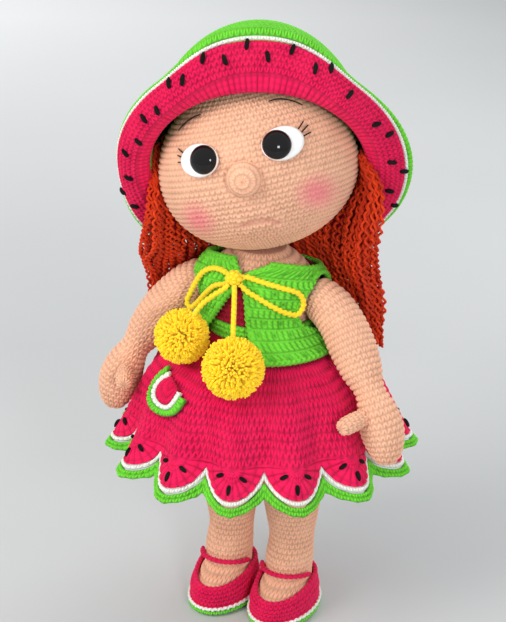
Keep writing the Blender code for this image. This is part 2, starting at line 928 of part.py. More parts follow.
def skirt_radius(height, angle):
    """Inner radius of the skirt at a height and an angle, with its folds."""
    waist = max(torso_half(WAIST_HEIGHT)) + BODICE_EASE
    at = (WAIST_HEIGHT - height) / SKIRT_LENGTH
    flare = read_shares(SKIRT_SHARES, at)[0]
    mean = waist + flare * (SKIRT_HEM_RADIUS - waist)
    fold = HEM_RUFFLE * max(at, 0.0) ** FOLD_GROWTH_SHARE * math.cos(SCALLOPS * angle)
    return mean + fold


def skirt_point(height, angle):
    radius = skirt_radius(height, angle)
    wide, deep = torso_half(WAIST_HEIGHT)
    squeeze = deep / wide
    at = (WAIST_HEIGHT - height) / (SKIRT_LENGTH * SKIRT_ROUND_SHARE)
    at = min(max(at, 0.0), 1.0)
    oval = squeeze + (1 - squeeze) * at
    return Vector((radius * math.cos(angle), radius * oval * math.sin(angle), height))


def hem_height(angle):
    """Height of the lowest edge, which hangs in scallops."""
    turn = angle * SCALLOPS / math.tau
    across = abs(turn - round(turn)) * 2
    return WAIST_HEIGHT - SKIRT_LENGTH + SCALLOP_RISE * across**SCALLOP_ROUND_SHARE


def band(name, top, bottom, look, home, row_shares=(0.0, 1.0)):
    """A band of the skirt between two heights above the hem's edge."""
    columns = SCALLOPS * SCALLOP_COLUMNS
    rows = []
    for share in reversed(row_shares):
        row = []
        for k in range(columns):
            angle = math.tau * k / columns
            edge = hem_height(angle)
            upper = WAIST_HEIGHT - SEAM_GAP if top is None else edge + top
            lower = edge + bottom
            height = upper + (lower - upper) * share
            row.append(skirt_point(height, angle))
        rows.append(row)
    made = sheet(name, rows, look, home, around=True)
    return thicken(made, CLOTH_THICKNESS, outward=True)


def make_dress(looks, home, armholes):
    """Bodice, waistband, skirt, its hem and the pocket."""
    band_top = WAIST_HEIGHT + WAISTBAND_HEIGHT
    bodice = torso_sections(band_top + SEAM_GAP, BODICE_TOP_HEIGHT, BODICE_EASE)
    made = sheet("bodice", section_rings(bodice, ROUND_SIDES), looks["crimson"], home, True)
    thicken(made, CLOTH_THICKNESS, outward=True)
    for hole in armholes:
        cut(made, hole)
    belt = torso_sections(WAIST_HEIGHT, band_top, BODICE_EASE)
    made = sheet("waistband", section_rings(belt, ROUND_SIDES), looks["green"], home, True)
    thicken(made, CLOTH_THICKNESS, outward=True)

    edge_top = HEM_EDGE_WIDTH
    rind_bottom = edge_top + 2 * SEAM_GAP
    rind_top = rind_bottom + HEM_RIND_WIDTH
    band("skirt", None, rind_top + 2 * SEAM_GAP, looks["pink"], home, SKIRT_ROW_SHARES)
    band("hem_rind", rind_top, rind_bottom, looks["white"], home)
    band("hem_edge", edge_top, 0.0, looks["green"], home)
    make_pocket(looks, home)


def make_pocket(looks, home):
    """A slice-shaped patch lying on the skirt's right front."""
    middle = math.radians(-90) + POCKET_TURN
    centre = WAIST_HEIGHT - POCKET_DROP
    step = POCKET_RADIUS / 2
    rise = skirt_point(centre + step, middle) - skirt_point(centre - step, middle)
    upright = rise.z / rise.length
    rows = []
    for up, wide in POCKET_SHARES:
        row = []
        for k in range(-POCKET_HALF_COLUMNS, POCKET_HALF_COLUMNS + 1):
            aside = POCKET_RADIUS * wide * k / POCKET_HALF_COLUMNS
            above = POCKET_RADIUS * up
            across = aside * math.cos(POCKET_SPIN) - above * math.sin(POCKET_SPIN)
            along = aside * math.sin(POCKET_SPIN) + above * math.cos(POCKET_SPIN)
            height = centre + along * upright
            radius = skirt_radius(height, middle)
            angle = middle + across / radius
            point = skirt_point(height, angle)
            side_way = skirt_point(height, angle + step / radius) - point
            up_way = skirt_point(height + step, angle) - point
            out = side_way.cross(up_way).normalized()
            dome = max(1 - math.hypot(aside, above) / POCKET_RADIUS, 0.0)
            lift = CLOTH_THICKNESS + POCKET_EASE + POCKET_BULGE * dome
            row.append(point + out * lift)
        rows.append(row)
    made = sheet("pocket", rows, looks["pink"], home)
    thicken(made, POCKET_THICKNESS, outward=True)


def vest_half(height, share):
    """Inner half width and half depth of the bolero at a height."""
    wide, deep = torso_half(height)
    room = BODICE_EASE + CLOTH_THICKNESS + VEST_EASE
    hem = VEST_HEM_FLARE * max(1 - share / VEST_HEM_SHARE, 0.0)
    beyond = abs(share - VEST_SHOULDER_SHARE) / VEST_SHOULDER_SPAN_SHARE
    shoulder = VEST_SHOULDER_FLARE * max(1 - beyond, 0.0)
    return wide + room + hem + shoulder, deep + room + hem


def vest_point(share, angle):
    """Inner surface of the bolero; the angle runs from the front to the left."""
    nape = VEST_NAPE_DROP * (1 - math.cos(angle)) / 2
    tall = VEST_TOP_HEIGHT - VEST_HEM_HEIGHT - nape
    height = VEST_HEM_HEIGHT + share * tall
    sections = []
    for near in (share - VEST_STEP_SHARE, share, share + VEST_STEP_SHARE):
        level = VEST_HEM_HEIGHT + near * tall
        sections.append((level, *vest_half(level, near), 0.0))
    extra = VEST_EASE + BODICE_EASE + CLOTH_THICKNESS
    grown_half = grown(sections, extra)[1]
    half_x = grown_half[1] - extra
    half_y = grown_half[2] - extra
    return Vector((half_x * math.sin(angle), -half_y * math.cos(angle), height))


def make_vest(looks, home, armholes):
    """A bolero open at the front, with an armhole on each side."""
    rows = []
    for share in VEST_ROW_SHARES:
        right, left = read_shares(VEST_EDGE_SHARES, share)
        start = math.radians(left)
        sweep = math.radians(360 - left + right)
        rows.append(
            [
                vest_point(share, start + sweep * k / VEST_COLUMNS)
                for k in range(VEST_COLUMNS + 1)
            ]
        )
    made = sheet("vest", rows, looks["green"], home)
    thicken(made, CLOTH_THICKNESS, outward=True)
    for hole in armholes:
        cut(made, hole)


def make_armholes(cutters):
    """Cylinders about the arms' hinge line that open the bodice and the bolero."""
    length = HIP_WIDTH
    holes = []
    for side, sign in (("left", 1), ("right", -1)):
        root_x = torso_half(SHOULDER_HEIGHT)[0]
        centre = (
            sign * (root_x - SKIN_THICKNESS + length / 2),
            SHOULDER_BACK,
            SHOULDER_HEIGHT - ARMHOLE_DROP,
        )
        radius = ARM_GIRTH_RADIUS + ARMHOLE_CLEARANCE
        holes.append(
            cutter_cylinder(f"armhole_{side}", centre, (1.0, 0.0, 0.0), radius, length, cutters)
        )
    return holes


def make_tie(looks, home):
    """The tie cord's knot, two bow loops and two tails with pompoms."""
    yellow = looks["yellow"]
    profile = []
    for k in range(KNOT_STEPS + 1):
        angle = math.pi * k / KNOT_STEPS
        profile.append((KNOT_RADIUS * math.sin(angle), KNOT_RADIUS * math.cos(angle)))
    turned("bow_knot", profile, yellow, home, Matrix.Translation(KNOT_PLACE), SMALL_SIDES)
    knot = Vector(KNOT_PLACE)
    room = KNOT_RADIUS + SEAM_GAP
    for side, route in (("left", BOW_LOOP_LEFT), ("right", BOW_LOOP_RIGHT)):
        first = knot + (Vector(route[0]) - knot).normalized() * room
        last = knot + (Vector(route[-1]) - knot).normalized() * room
        tube(f"bow_loop_{side}", (first, *route, last), TIE_CORD_RADIUS, yellow, home)
    for side, route in (("left", TAIL_LEFT), ("right", TAIL_RIGHT)):
        pivot = bpy.data.objects.new(f"tail_{side}_pivot", None)
        home.objects.link(pivot)
        pivot.location = KNOT_PLACE
        radius = POMPOM_RADIUS[side]
        centre = Vector(POMPOM_PLACE[side])
        first = knot + (Vector(route[0]) - knot).normalized() * room
        last = centre + (Vector(route[-1]) - centre).normalized() * (radius + SEAM_GAP)
        tail = tube(f"cord_tail_{side}", (first, *route, last), TIE_CORD_RADIUS, yellow, home)
        work = bmesh.new()
        bmesh.ops.create_icosphere(work, subdivisions=POMPOM_DIVISIONS, radius=radius)
        pompom = mesh_object(f"pompom_{side}", work, yellow, home)
        pompom.location = centre
        for piece in (tail, pompom):
            piece.parent = pivot
            piece.matrix_parent_inverse = pivot_inverse(pivot)


def make_shoes(looks, home):
    """Soles, uppers and straps."""
    for side, sign in (("left", 1), ("right", -1)):
        across = sign * LEG_SPACING / 2
        outline = ellipse(
            Vector((across, -FOOT_FORWARD, 0.0)), SHOE_WIDTH / 2, SHOE_LENGTH / 2, ROUND_SIDES
        )
        lift = Vector((0.0, 0.0, SOLE_THICKNESS))
        loft(f"shoe_sole_{side}", [outline, [p + lift for p in outline]], looks["green"], home)

        sections = leg_sections()[: len(FOOT_SHARES)]
        rows = grown(sections, SHOE_EASE)
        rows[0] = (
            SOLE_THICKNESS + SEAM_GAP,
            SHOE_WIDTH / 2 - SHOE_THICKNESS,
            SHOE_LENGTH / 2 - SHOE_THICKNESS,
            -FOOT_FORWARD,
        )
        upper = sheet(
            f"shoe_upper_{side}",
            section_rings(rows, ROUND_SIDES, across),
            looks["pink"],
            home,
            around=True,
        )
        thicken(upper, SHOE_THICKNESS, outward=True)
        make_strap(side, across, looks, home)


def make_strap(side, across, looks, home):
    """A cord strap over the instep, from one side of the upper to the other."""
    table = [(z, x, y, s) for z, x, y, s in leg_sections()]
    points = []
    low, more = STRAP_RISE_SHARES
    for k in range(STRAP_STEPS + 1):
        bend = STRAP_REACH * (2 * k / STRAP_STEPS - 1)
        height = SHOE_HEIGHT + STRAP_RADIUS * (low + more * math.cos(bend))
        half_x, half_y, shift = read_shares(table, height)
        room = STRAP_RADIUS + SHOE_EASE * 2
        points.append(
            (
                across + (half_x + room) * math.sin(bend),
                shift - (half_y + room) * math.cos(bend),
                height,
            )
        )
    tube(f"shoe_strap_{side}", points, STRAP_RADIUS, looks["pink"], home)


def brim_roll(angle):
    """How far the brim leans back at its root and at its edge, at an angle."""
    degrees = math.degrees(math.remainder(angle, math.tau))
    for low, high in zip(BRIM_ROLL_SHARES, BRIM_ROLL_SHARES[1:]):
        if degrees <= high[0]:
            share = (degrees - low[0]) / (high[0] - low[0])
            ease = (1 - math.cos(math.pi * share)) / 2
            return [math.radians(a + (b - a) * ease) for a, b in zip(low[1:], high[1:])]
    return [math.radians(value) for value in BRIM_ROLL_SHARES[-1][1:]]


def brim_section(angle, out):
    """Distance out and back along the brim's arc, at a distance along the cloth."""
    start, end = brim_roll(angle)
    whole = BRIM_PINK_WIDTH + BRIM_RIND_WIDTH + BRIM_EDGE_WIDTH + 2 * SEAM_GAP
    bend = (end - start) / whole
    lean = start + bend * out
    return (
        (math.sin(lean) - math.sin(start)) / bend,
        (math.cos(start) - math.cos(lean)) / bend,
    )


def brim_band(name, start, end, rows_count, look, home):
    """A round of the brim between two distances from the opening's edge."""
    root = hat_inner_radius()
    shift = root * (1 - OPENING_OVAL_SHARE)
    rows = []
    for j in range(rows_count):
        out = start + (end - start) * j / (rows_count - 1)
        row = []
        for k in range(BRIM_SIDES):
            angle = math.tau * k / BRIM_SIDES
            reach, rise = brim_section(angle, out)
            radius = root + reach
            row.append(
                Vector((radius * math.sin(angle), -(radius - shift) * math.cos(angle), rise))
            )
        rows.append(row)
    made = sheet(name, list(reversed(rows)), look, home, around=True)
    made.matrix_world = hat_pose()
    return thicken(made, HAT_THICKNESS)


def make_hat(looks, home):
    """Crown and brim of the sun hat."""
    radius = hat_inner_radius()
    levels = [(HAT_THICKNESS, radius, radius * OPENING_OVAL_SHARE)]
    middle = (radius + CROWN_RADIUS) / 2
    levels.append((CROWN_WALL_LENGTH / 2, middle, (middle + radius * OPENING_OVAL_SHARE) / 2))
    for k in range(CROWN_DOME_ROWS):
        angle = math.pi / 2 * k / CROWN_DOME_ROWS
        height = CROWN_WALL_LENGTH + CROWN_DOME_LENGTH * math.sin(angle)
        round_radius = CROWN_RADIUS * math.cos(angle)
        levels.append((height, round_radius, round_radius))
    levels.append((CROWN_WALL_LENGTH + CROWN_DOME_LENGTH, HAT_THICKNESS, HAT_THICKNESS))
    rings = [ellipse(Vector((0.0, 0.0, z)), x, y, CROWN_SIDES) for z, x, y in levels]
    crown = loft("hat_crown", rings, looks["green"], home, bottom=False)
    crown.matrix_world = hat_pose()
    thicken(crown, HAT_THICKNESS, outward=True)

    pink_end = BRIM_PINK_WIDTH
    rind_start = pink_end + SEAM_GAP
    rind_end = rind_start + BRIM_RIND_WIDTH
    edge_start = rind_end + SEAM_GAP
    edge_end = edge_start + BRIM_EDGE_WIDTH
    brim_band("hat_brim", 0.0, pink_end, BRIM_ROWS, looks["pink"], home)
    brim_band("hat_rind", rind_start, rind_end, 2, looks["white"], home)
    brim_band("hat_edge", edge_start, edge_end, 2, looks["green"], home)


def lock(name, places, looks, home):
    """A lock of hair through places given from its top down, each with a size share."""
    rings = [
        ellipse(
            Vector(place),
            HAIR_LOCK_WIDTH / 2 * size,
            HAIR_LOCK_DEPTH / 2 * size,
            SMALL_SIDES,
        )
        for size, place in reversed(places)
    ]
    loft(name, rings, looks["hair"], home)


def make_hair(looks, home):
    """Locks that leave the hat beside the face, and the hair on the shoulders."""
    half_head = HEAD_WIDTH / 2
    low = HAIR_SPLIT_HEIGHT + SEAM_GAP
    for side in ("left", "right"):
        places = []
        for (aside, back), share, size in zip(
            LOCK_SHARES[side], LOCK_HEIGHT_SHARES, LOCK_SIZE_SHARES
        ):
            height = low + (LOCK_TOP_HEIGHT - low) * share
            places.append((size, (aside * half_head, back * half_head, height)))
        lock(f"hair_{side}_top", places, looks, home)
        places = []
        for (aside, back), share in zip(LOCK_END_SHARES[side], (1.0, 0.6, 0.0)):
            height = HAIR_END_HEIGHT + (HAIR_SPLIT_HEIGHT - HAIR_END_HEIGHT) * share
            size = 1.0 if share else LOCK_SIZE_SHARES[1]
            places.append((size, (aside * half_head, back * half_head, height)))
        lock(f"hair_{side}_end", places, looks, home)

    rows = []
    for height, out, wide in HAIR_BACK_SHARES:
        level = HAIR_END_HEIGHT + height * (HAIR_BACK_TOP_HEIGHT - HAIR_END_HEIGHT)
        back = vest_half(max(level, VEST_HEM_HEIGHT), HAIR_BACK_VEST_SHARE)[1]
        back += CLOTH_THICKNESS + out
        row = []
        for k in range(2 * HAIR_BACK_HALF_COLUMNS + 1):
            aside = (k / HAIR_BACK_HALF_COLUMNS - 1) * wide
            bow = 1 - HAIR_BACK_BOW_SHARE * aside**2
            row.append(Vector((aside * HAIR_BACK_WIDTH / 2, back * bow + HAIR_BACK_ROOM, level)))
        rows.append(list(reversed(row)))
    made = sheet("hair_back", rows, looks["hair"], home)
    thicken(made, HAIR_BACK_DEPTH, outward=True)


def make_looks():
    return {
        "skin": material("skin_yarn", (0.87, 0.48, 0.33)),
        "stuffing": material("fibre_fill", (0.9, 0.9, 0.88)),
        "pink": material("pink_yarn", (0.80, 0.014, 0.10)),
        "crimson": material("crimson_yarn", (0.35, 0.0, 0.03)),
        "green": material("green_yarn", (0.21, 0.72, 0.045)),
        "white": material("white_yarn", (0.9, 0.9, 0.88)),
        "yellow": material("yellow_yarn", (0.95, 0.68, 0.08)),
        "hair": material("hair_yarn", (0.52, 0.05, 0.006)),
        "felt": material("white_felt", (0.92, 0.92, 0.9)),
        "eye": material("black_plastic", (0.005, 0.005, 0.005), 0.08),
        "washer": material("washer_plastic", (0.8, 0.8, 0.8), 0.4),
        "wood": material("dowel_wood", (0.6, 0.42, 0.24), 0.6),
    }


def main():
    for old in list(bpy.data.objects):
        bpy.data.objects.remove(old, do_unlink=True)
    home = collection("watermelon_doll")
    cutters = collection("cutters")
    looks = make_looks()
    bore = make_body(looks, home, cutters)
    make_head(looks, home, cutters, bore)
    make_arms(looks, home)
    armholes = make_armholes(cutters)
    make_dress(looks, home, armholes)
    make_vest(looks, home, armholes)
    make_tie(looks, home)
    make_shoes(looks, home)
    make_hat(looks, home)
    make_hair(looks, home)


main()
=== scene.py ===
"""Crocheted doll in a watermelon dress and sun hat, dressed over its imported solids."""

import sys

import json
import math

import bmesh
import bpy
import numpy as np
from mathutils import Matrix, Vector
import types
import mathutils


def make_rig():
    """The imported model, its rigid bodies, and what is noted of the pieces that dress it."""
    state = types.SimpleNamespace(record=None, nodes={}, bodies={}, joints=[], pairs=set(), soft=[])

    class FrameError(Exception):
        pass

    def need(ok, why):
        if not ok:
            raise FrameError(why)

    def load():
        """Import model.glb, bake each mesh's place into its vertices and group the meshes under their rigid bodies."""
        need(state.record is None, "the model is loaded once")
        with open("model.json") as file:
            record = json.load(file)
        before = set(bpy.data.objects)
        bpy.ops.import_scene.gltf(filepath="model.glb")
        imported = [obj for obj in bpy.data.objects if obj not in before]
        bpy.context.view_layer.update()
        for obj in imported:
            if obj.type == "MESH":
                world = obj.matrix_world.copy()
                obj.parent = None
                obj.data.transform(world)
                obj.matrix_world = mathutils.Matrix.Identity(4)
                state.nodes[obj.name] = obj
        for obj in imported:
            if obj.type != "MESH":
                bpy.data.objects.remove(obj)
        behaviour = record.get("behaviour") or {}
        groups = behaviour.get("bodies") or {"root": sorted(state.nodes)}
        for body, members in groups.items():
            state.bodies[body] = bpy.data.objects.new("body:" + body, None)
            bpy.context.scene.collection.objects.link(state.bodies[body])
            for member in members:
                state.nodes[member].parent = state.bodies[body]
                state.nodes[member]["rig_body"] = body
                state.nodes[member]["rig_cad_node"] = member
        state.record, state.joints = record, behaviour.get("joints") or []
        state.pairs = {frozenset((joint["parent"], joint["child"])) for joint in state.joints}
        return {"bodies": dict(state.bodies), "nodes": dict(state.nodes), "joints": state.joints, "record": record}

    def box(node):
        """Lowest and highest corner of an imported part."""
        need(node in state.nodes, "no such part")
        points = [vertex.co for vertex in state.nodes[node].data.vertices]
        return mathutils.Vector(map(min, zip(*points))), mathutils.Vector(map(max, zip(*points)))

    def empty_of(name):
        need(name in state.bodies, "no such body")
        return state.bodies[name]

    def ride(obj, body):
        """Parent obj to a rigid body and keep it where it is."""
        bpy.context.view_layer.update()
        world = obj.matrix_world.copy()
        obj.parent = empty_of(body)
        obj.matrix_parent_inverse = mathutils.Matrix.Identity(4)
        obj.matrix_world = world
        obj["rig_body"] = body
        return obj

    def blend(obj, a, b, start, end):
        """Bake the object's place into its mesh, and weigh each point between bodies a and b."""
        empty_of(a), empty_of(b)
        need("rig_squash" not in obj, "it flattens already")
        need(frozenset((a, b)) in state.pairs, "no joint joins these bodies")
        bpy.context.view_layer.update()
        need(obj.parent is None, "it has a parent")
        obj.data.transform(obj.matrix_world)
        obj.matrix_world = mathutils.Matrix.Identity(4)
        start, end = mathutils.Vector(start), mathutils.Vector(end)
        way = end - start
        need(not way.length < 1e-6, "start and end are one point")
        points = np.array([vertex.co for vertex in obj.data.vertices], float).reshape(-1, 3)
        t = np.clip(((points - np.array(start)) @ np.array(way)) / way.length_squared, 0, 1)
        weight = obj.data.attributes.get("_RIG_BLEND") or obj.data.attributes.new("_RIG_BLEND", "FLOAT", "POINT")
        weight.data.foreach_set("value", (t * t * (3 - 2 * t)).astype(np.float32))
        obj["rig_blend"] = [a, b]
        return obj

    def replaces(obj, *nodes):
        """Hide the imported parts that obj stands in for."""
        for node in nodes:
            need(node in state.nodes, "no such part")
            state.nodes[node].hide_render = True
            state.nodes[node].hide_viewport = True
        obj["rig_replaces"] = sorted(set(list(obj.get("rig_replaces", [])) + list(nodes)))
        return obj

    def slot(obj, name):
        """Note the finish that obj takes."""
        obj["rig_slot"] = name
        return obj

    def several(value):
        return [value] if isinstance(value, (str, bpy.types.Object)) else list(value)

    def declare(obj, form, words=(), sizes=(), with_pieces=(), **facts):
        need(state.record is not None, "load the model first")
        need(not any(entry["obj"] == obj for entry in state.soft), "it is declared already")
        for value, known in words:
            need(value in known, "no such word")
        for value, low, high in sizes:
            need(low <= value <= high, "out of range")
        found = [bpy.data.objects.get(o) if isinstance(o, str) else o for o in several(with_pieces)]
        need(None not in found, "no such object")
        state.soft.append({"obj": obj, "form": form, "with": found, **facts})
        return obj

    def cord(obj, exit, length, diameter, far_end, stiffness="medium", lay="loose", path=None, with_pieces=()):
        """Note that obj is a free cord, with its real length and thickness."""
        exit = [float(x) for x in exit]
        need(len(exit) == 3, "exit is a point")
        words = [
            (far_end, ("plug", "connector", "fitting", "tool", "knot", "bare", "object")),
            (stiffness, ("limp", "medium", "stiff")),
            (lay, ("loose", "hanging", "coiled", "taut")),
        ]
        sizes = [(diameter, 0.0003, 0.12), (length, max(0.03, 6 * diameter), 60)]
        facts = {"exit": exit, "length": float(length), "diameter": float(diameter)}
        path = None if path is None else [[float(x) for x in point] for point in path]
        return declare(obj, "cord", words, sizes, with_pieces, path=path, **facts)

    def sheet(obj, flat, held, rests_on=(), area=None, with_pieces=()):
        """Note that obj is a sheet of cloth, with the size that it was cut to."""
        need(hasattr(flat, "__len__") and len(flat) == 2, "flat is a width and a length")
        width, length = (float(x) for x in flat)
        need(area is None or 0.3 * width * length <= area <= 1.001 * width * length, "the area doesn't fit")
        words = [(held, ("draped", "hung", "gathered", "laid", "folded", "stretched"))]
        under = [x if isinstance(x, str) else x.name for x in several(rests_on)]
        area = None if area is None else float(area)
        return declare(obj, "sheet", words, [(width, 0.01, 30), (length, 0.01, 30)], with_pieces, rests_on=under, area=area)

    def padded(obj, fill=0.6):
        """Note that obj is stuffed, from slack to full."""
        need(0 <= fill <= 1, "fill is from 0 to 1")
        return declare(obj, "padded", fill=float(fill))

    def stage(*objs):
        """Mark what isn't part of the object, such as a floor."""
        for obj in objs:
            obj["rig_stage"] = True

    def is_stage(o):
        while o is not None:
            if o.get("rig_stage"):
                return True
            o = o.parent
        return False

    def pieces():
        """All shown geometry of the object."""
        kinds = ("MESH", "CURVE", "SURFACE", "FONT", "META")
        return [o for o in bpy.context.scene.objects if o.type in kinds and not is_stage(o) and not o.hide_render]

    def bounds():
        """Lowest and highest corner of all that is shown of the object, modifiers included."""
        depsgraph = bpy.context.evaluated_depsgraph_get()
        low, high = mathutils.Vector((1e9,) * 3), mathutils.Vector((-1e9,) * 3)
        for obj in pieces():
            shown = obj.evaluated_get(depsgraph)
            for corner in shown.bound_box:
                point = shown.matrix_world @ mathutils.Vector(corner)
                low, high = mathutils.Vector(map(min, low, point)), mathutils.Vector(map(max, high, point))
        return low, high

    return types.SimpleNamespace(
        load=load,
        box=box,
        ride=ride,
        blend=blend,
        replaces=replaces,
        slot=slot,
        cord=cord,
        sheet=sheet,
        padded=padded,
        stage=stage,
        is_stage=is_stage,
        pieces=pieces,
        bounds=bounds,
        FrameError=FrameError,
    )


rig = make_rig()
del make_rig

bl_info = {
    "name": "Crochet Doll",
    "version": (1, 0, 0),
    "blender": (4, 5, 0),
    "location": "View3D > Sidebar > Doll",
    "description": "Makes a crocheted doll's stitches, clothes, hair and setting",
    "category": "Add Mesh",
}

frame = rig.load()
CAD_BOUNDS = [list(corner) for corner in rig.bounds()]

TAU = 2 * math.pi
CLOTH = 0.0024
SKIN = 0.0023

# Photograph's camera
CAMERA_AZIMUTH = math.radians(25)
CAMERA_ELEVATION = math.radians(23)
CAMERA_DISTANCE = 1.0
CAMERA_LOOK_ASIDE = -0.0049
CAMERA_LOOK_HEIGHT = 0.176
CAMERA_FOCAL_PIXELS = 1850
IMAGE_HEIGHT = 622
SENSOR = 36.0

# Head, in metres and radians
HEAD_CENTRE = (-0.003, 0.0, 0.2605)
HEAD_HALF = (0.0525, 0.045, 0.0455)
HEAD_CHEEK = 0.07
HEAD_YAW = math.radians(19)
HEAD_ROLL = math.radians(-14)
HEAD_PITCH = math.radians(-10)

# Torso: height, half width, half depth
TORSO_BOTTOM = 0.106
TORSO_TOP = 0.2145
HIP_HALF = (0.0375, 0.030)
TORSO_ROWS = (
    (0.0, 0.90, 0.74),
    (0.05, 0.98, 0.90),
    (0.17, 1.0, 1.0),
    (0.31, 0.94, 0.98),
    (0.45, 0.80, 0.90),
    (0.575, 0.735, 0.85),
    (0.68, 0.735, 0.82),
    (0.78, 0.76, 0.785),
    (0.85, 0.765, 0.735),
    (0.90, 0.70, 0.67),
    (0.945, 0.565, 0.58),
    (0.98, 0.40, 0.48),
    (1.0, 0.335, 0.42),
)

# Leg and foot: height, half width, half depth, shift forward, in metres
LEG_ASIDE = 0.01875
LEG_ROWS = (
    (0.0042, 0.0118, 0.0208, 0.0095),
    (0.0071, 0.0145, 0.0237, 0.0095),
    (0.0119, 0.0148, 0.0232, 0.0091),
    (0.0163, 0.0136, 0.0203, 0.0076),
    (0.0199, 0.0127, 0.0162, 0.0048),
    (0.0308, 0.0131, 0.0138, 0.0030),
    (0.0433, 0.0124, 0.0125, 0.0),
    (0.0574, 0.0144, 0.0144, 0.0),
    (0.0741, 0.0169, 0.0169, 0.0),
    (0.0932, 0.0180, 0.0180, 0.0),
    (0.1057, 0.0173, 0.0173, 0.0),
)

# Arm: outward, down, forward and radius, in shares of the reach, drop, lean and girth
ARM_ROWS = (
    (0.0, 0.0, 0.0, 0.70),
    (0.07, 0.0, 0.01, 0.88),
    (0.20, 0.035, 0.06, 0.96),
    (0.36, 0.12, 0.20, 0.98),
    (0.52, 0.25, 0.42, 1.0),
    (0.66, 0.385, 0.62, 0.87),
    (0.77, 0.50, 0.76, 0.64),
    (0.86, 0.61, 0.86, 0.83),
    (0.93, 0.73, 0.92, 0.93),
    (0.98, 0.86, 0.97, 0.74),
    (1.0, 0.96, 1.0, 0.42),
)
ARM_REACH = {"left": 0.0535, "right": 0.052}
ARM_ROOT = (0.0287, -0.001, 0.190)
ARMHOLE = (-0.001, 0.1884)
ARMHOLE_RADIUS = 0.0156
ARM_DROP = 0.0815
ARM_LEAN = 0.021
ARM_GIRTH = 0.0123


def smooth(knots, values, at):
    """Values on a smooth curve through a table's rows."""
    knots = np.asarray(knots, float)
    values = np.asarray(values, float).reshape(len(knots), -1)
    slopes = np.gradient(values, knots, axis=0)
    at = np.clip(np.asarray(at, float), knots[0], knots[-1])
    low = np.clip(np.searchsorted(knots, at) - 1, 0, len(knots) - 2)
    wide = (knots[low + 1] - knots[low])[..., None]
    t = (at - knots[low])[..., None] / wide
    rise = values[low + 1] - values[low]
    first, last = slopes[low] * wide, slopes[low + 1] * wide
    bent = t * t * (3 - 2 * t) * rise + t * (1 - t) * ((1 - t) * first - t * last)
    return values[low] + bent


def unit(vectors):
    return vectors / np.maximum(np.linalg.norm(vectors, axis=-1, keepdims=True), 1e-12)


def single_stitch(a, b):
    """Height of a single crochet: two strands that meet at its foot."""
    strand = np.abs(a - 0.5) - 0.07 - 0.31 * b
    across = np.clip(1 - (strand / 0.19) ** 2, 0, 1)
    return np.sqrt(across) * np.clip(np.sin(math.pi * b), 0, 1) ** 0.55


def post_stitch(a, b):
    """Height of a double crochet: a wrapped post under a flat loop."""
    post = np.sqrt(np.clip(1 - (np.abs(a - 0.5) / 0.43) ** 2, 0, 1))
    wraps = 0.74 + 0.26 * np.cos(TAU * (2.6 * b + 0.9 * a))
    foot = np.clip(b / 0.10, 0, 1) * np.clip((0.90 - b) / 0.10, 0, 1)
    loop = np.clip(1 - ((b - 0.93) / 0.075) ** 2, 0, 1) * (0.85 + 0.15 * np.cos(TAU * a))
    return np.maximum(post * wraps * foot, loop)


def rib_stitch(a, b):
    """Height of long stitches that lie side by side."""
    rib = np.sqrt(np.clip(1 - (np.abs(a - 0.5) / 0.47) ** 2, 0, 1))
    return rib * np.clip(np.sin(math.pi * b), 0, 1) ** 0.3


def grid_object(name, points, fields=(), around=True, low_cap=False, high_cap=False, flip=False):
    """Mesh over a grid of points in rows, with float attributes given as grids."""
    rows, columns = points.shape[:2]
    places = points.reshape(-1, 3)
    last = columns if around else columns - 1
    r, c = np.meshgrid(np.arange(rows - 1), np.arange(last), indexing="ij")
    right = (c + 1) % columns
    quads = np.stack(
        [r * columns + c, r * columns + right, (r + 1) * columns + right, (r + 1) * columns + c], -1
    ).reshape(-1, 4)
    values = {key: field.reshape(-1) for key, field in dict(fields).items()}
    triangles = []
    for wanted, row in ((low_cap, 0), (high_cap, rows - 1)):
        if not wanted:
            continue
        middle = len(places)
        ring = np.arange(columns) + row * columns
        places = np.vstack([places, places[ring].mean(0)])
        values = {k: np.append(v, v[ring].mean()) for k, v in values.items()}
        turn = np.stack([np.roll(ring, -1), ring, np.full(columns, middle)], -1)
        triangles.append(turn if row == 0 else turn[:, ::-1])
    faces = [quads[:, ::-1] if flip else quads]
    faces += [t[:, ::-1] if flip else t for t in triangles]
    return face_object(name, places, faces, values)


def face_object(name, places, faces, values=None):
    """Smooth mesh object from points and arrays of faces of one size each."""
    mesh = bpy.data.meshes.new(name)
    loops = np.concatenate([f.reshape(-1) for f in faces]).astype(np.int32)
    sizes = np.concatenate([np.full(len(f), f.shape[1]) for f in faces]).astype(np.int32)
    mesh.vertices.add(len(places))
    mesh.vertices.foreach_set("co", np.asarray(places, np.float32).reshape(-1))
    mesh.loops.add(len(loops))
    mesh.loops.foreach_set("vertex_index", loops)
    mesh.polygons.add(len(sizes))
    starts = np.concatenate([[0], np.cumsum(sizes)[:-1]]).astype(np.int32)
    mesh.polygons.foreach_set("loop_start", starts)
    mesh.polygons.foreach_set("use_smooth", np.ones(len(sizes), bool))
    mesh.update(calc_edges=True)
    for key, value in (values or {}).items():
        layer = mesh.attributes.new(key, "FLOAT", "POINT")
        layer.data.foreach_set("value", np.asarray(value, np.float32))
    mesh.validate()
    made = bpy.data.objects.new(name, mesh)
    bpy.context.scene.collection.objects.link(made)
    return made


def grid_normals(points, around=True):
    """Directions square to a grid of points; rows go up and columns to the right."""
    if around:
        across = np.roll(points, -1, 1) - np.roll(points, 1, 1)
    else:
        across = np.gradient(points, axis=1)
    along = np.gradient(points, axis=0)
    return unit(np.cross(across, along))


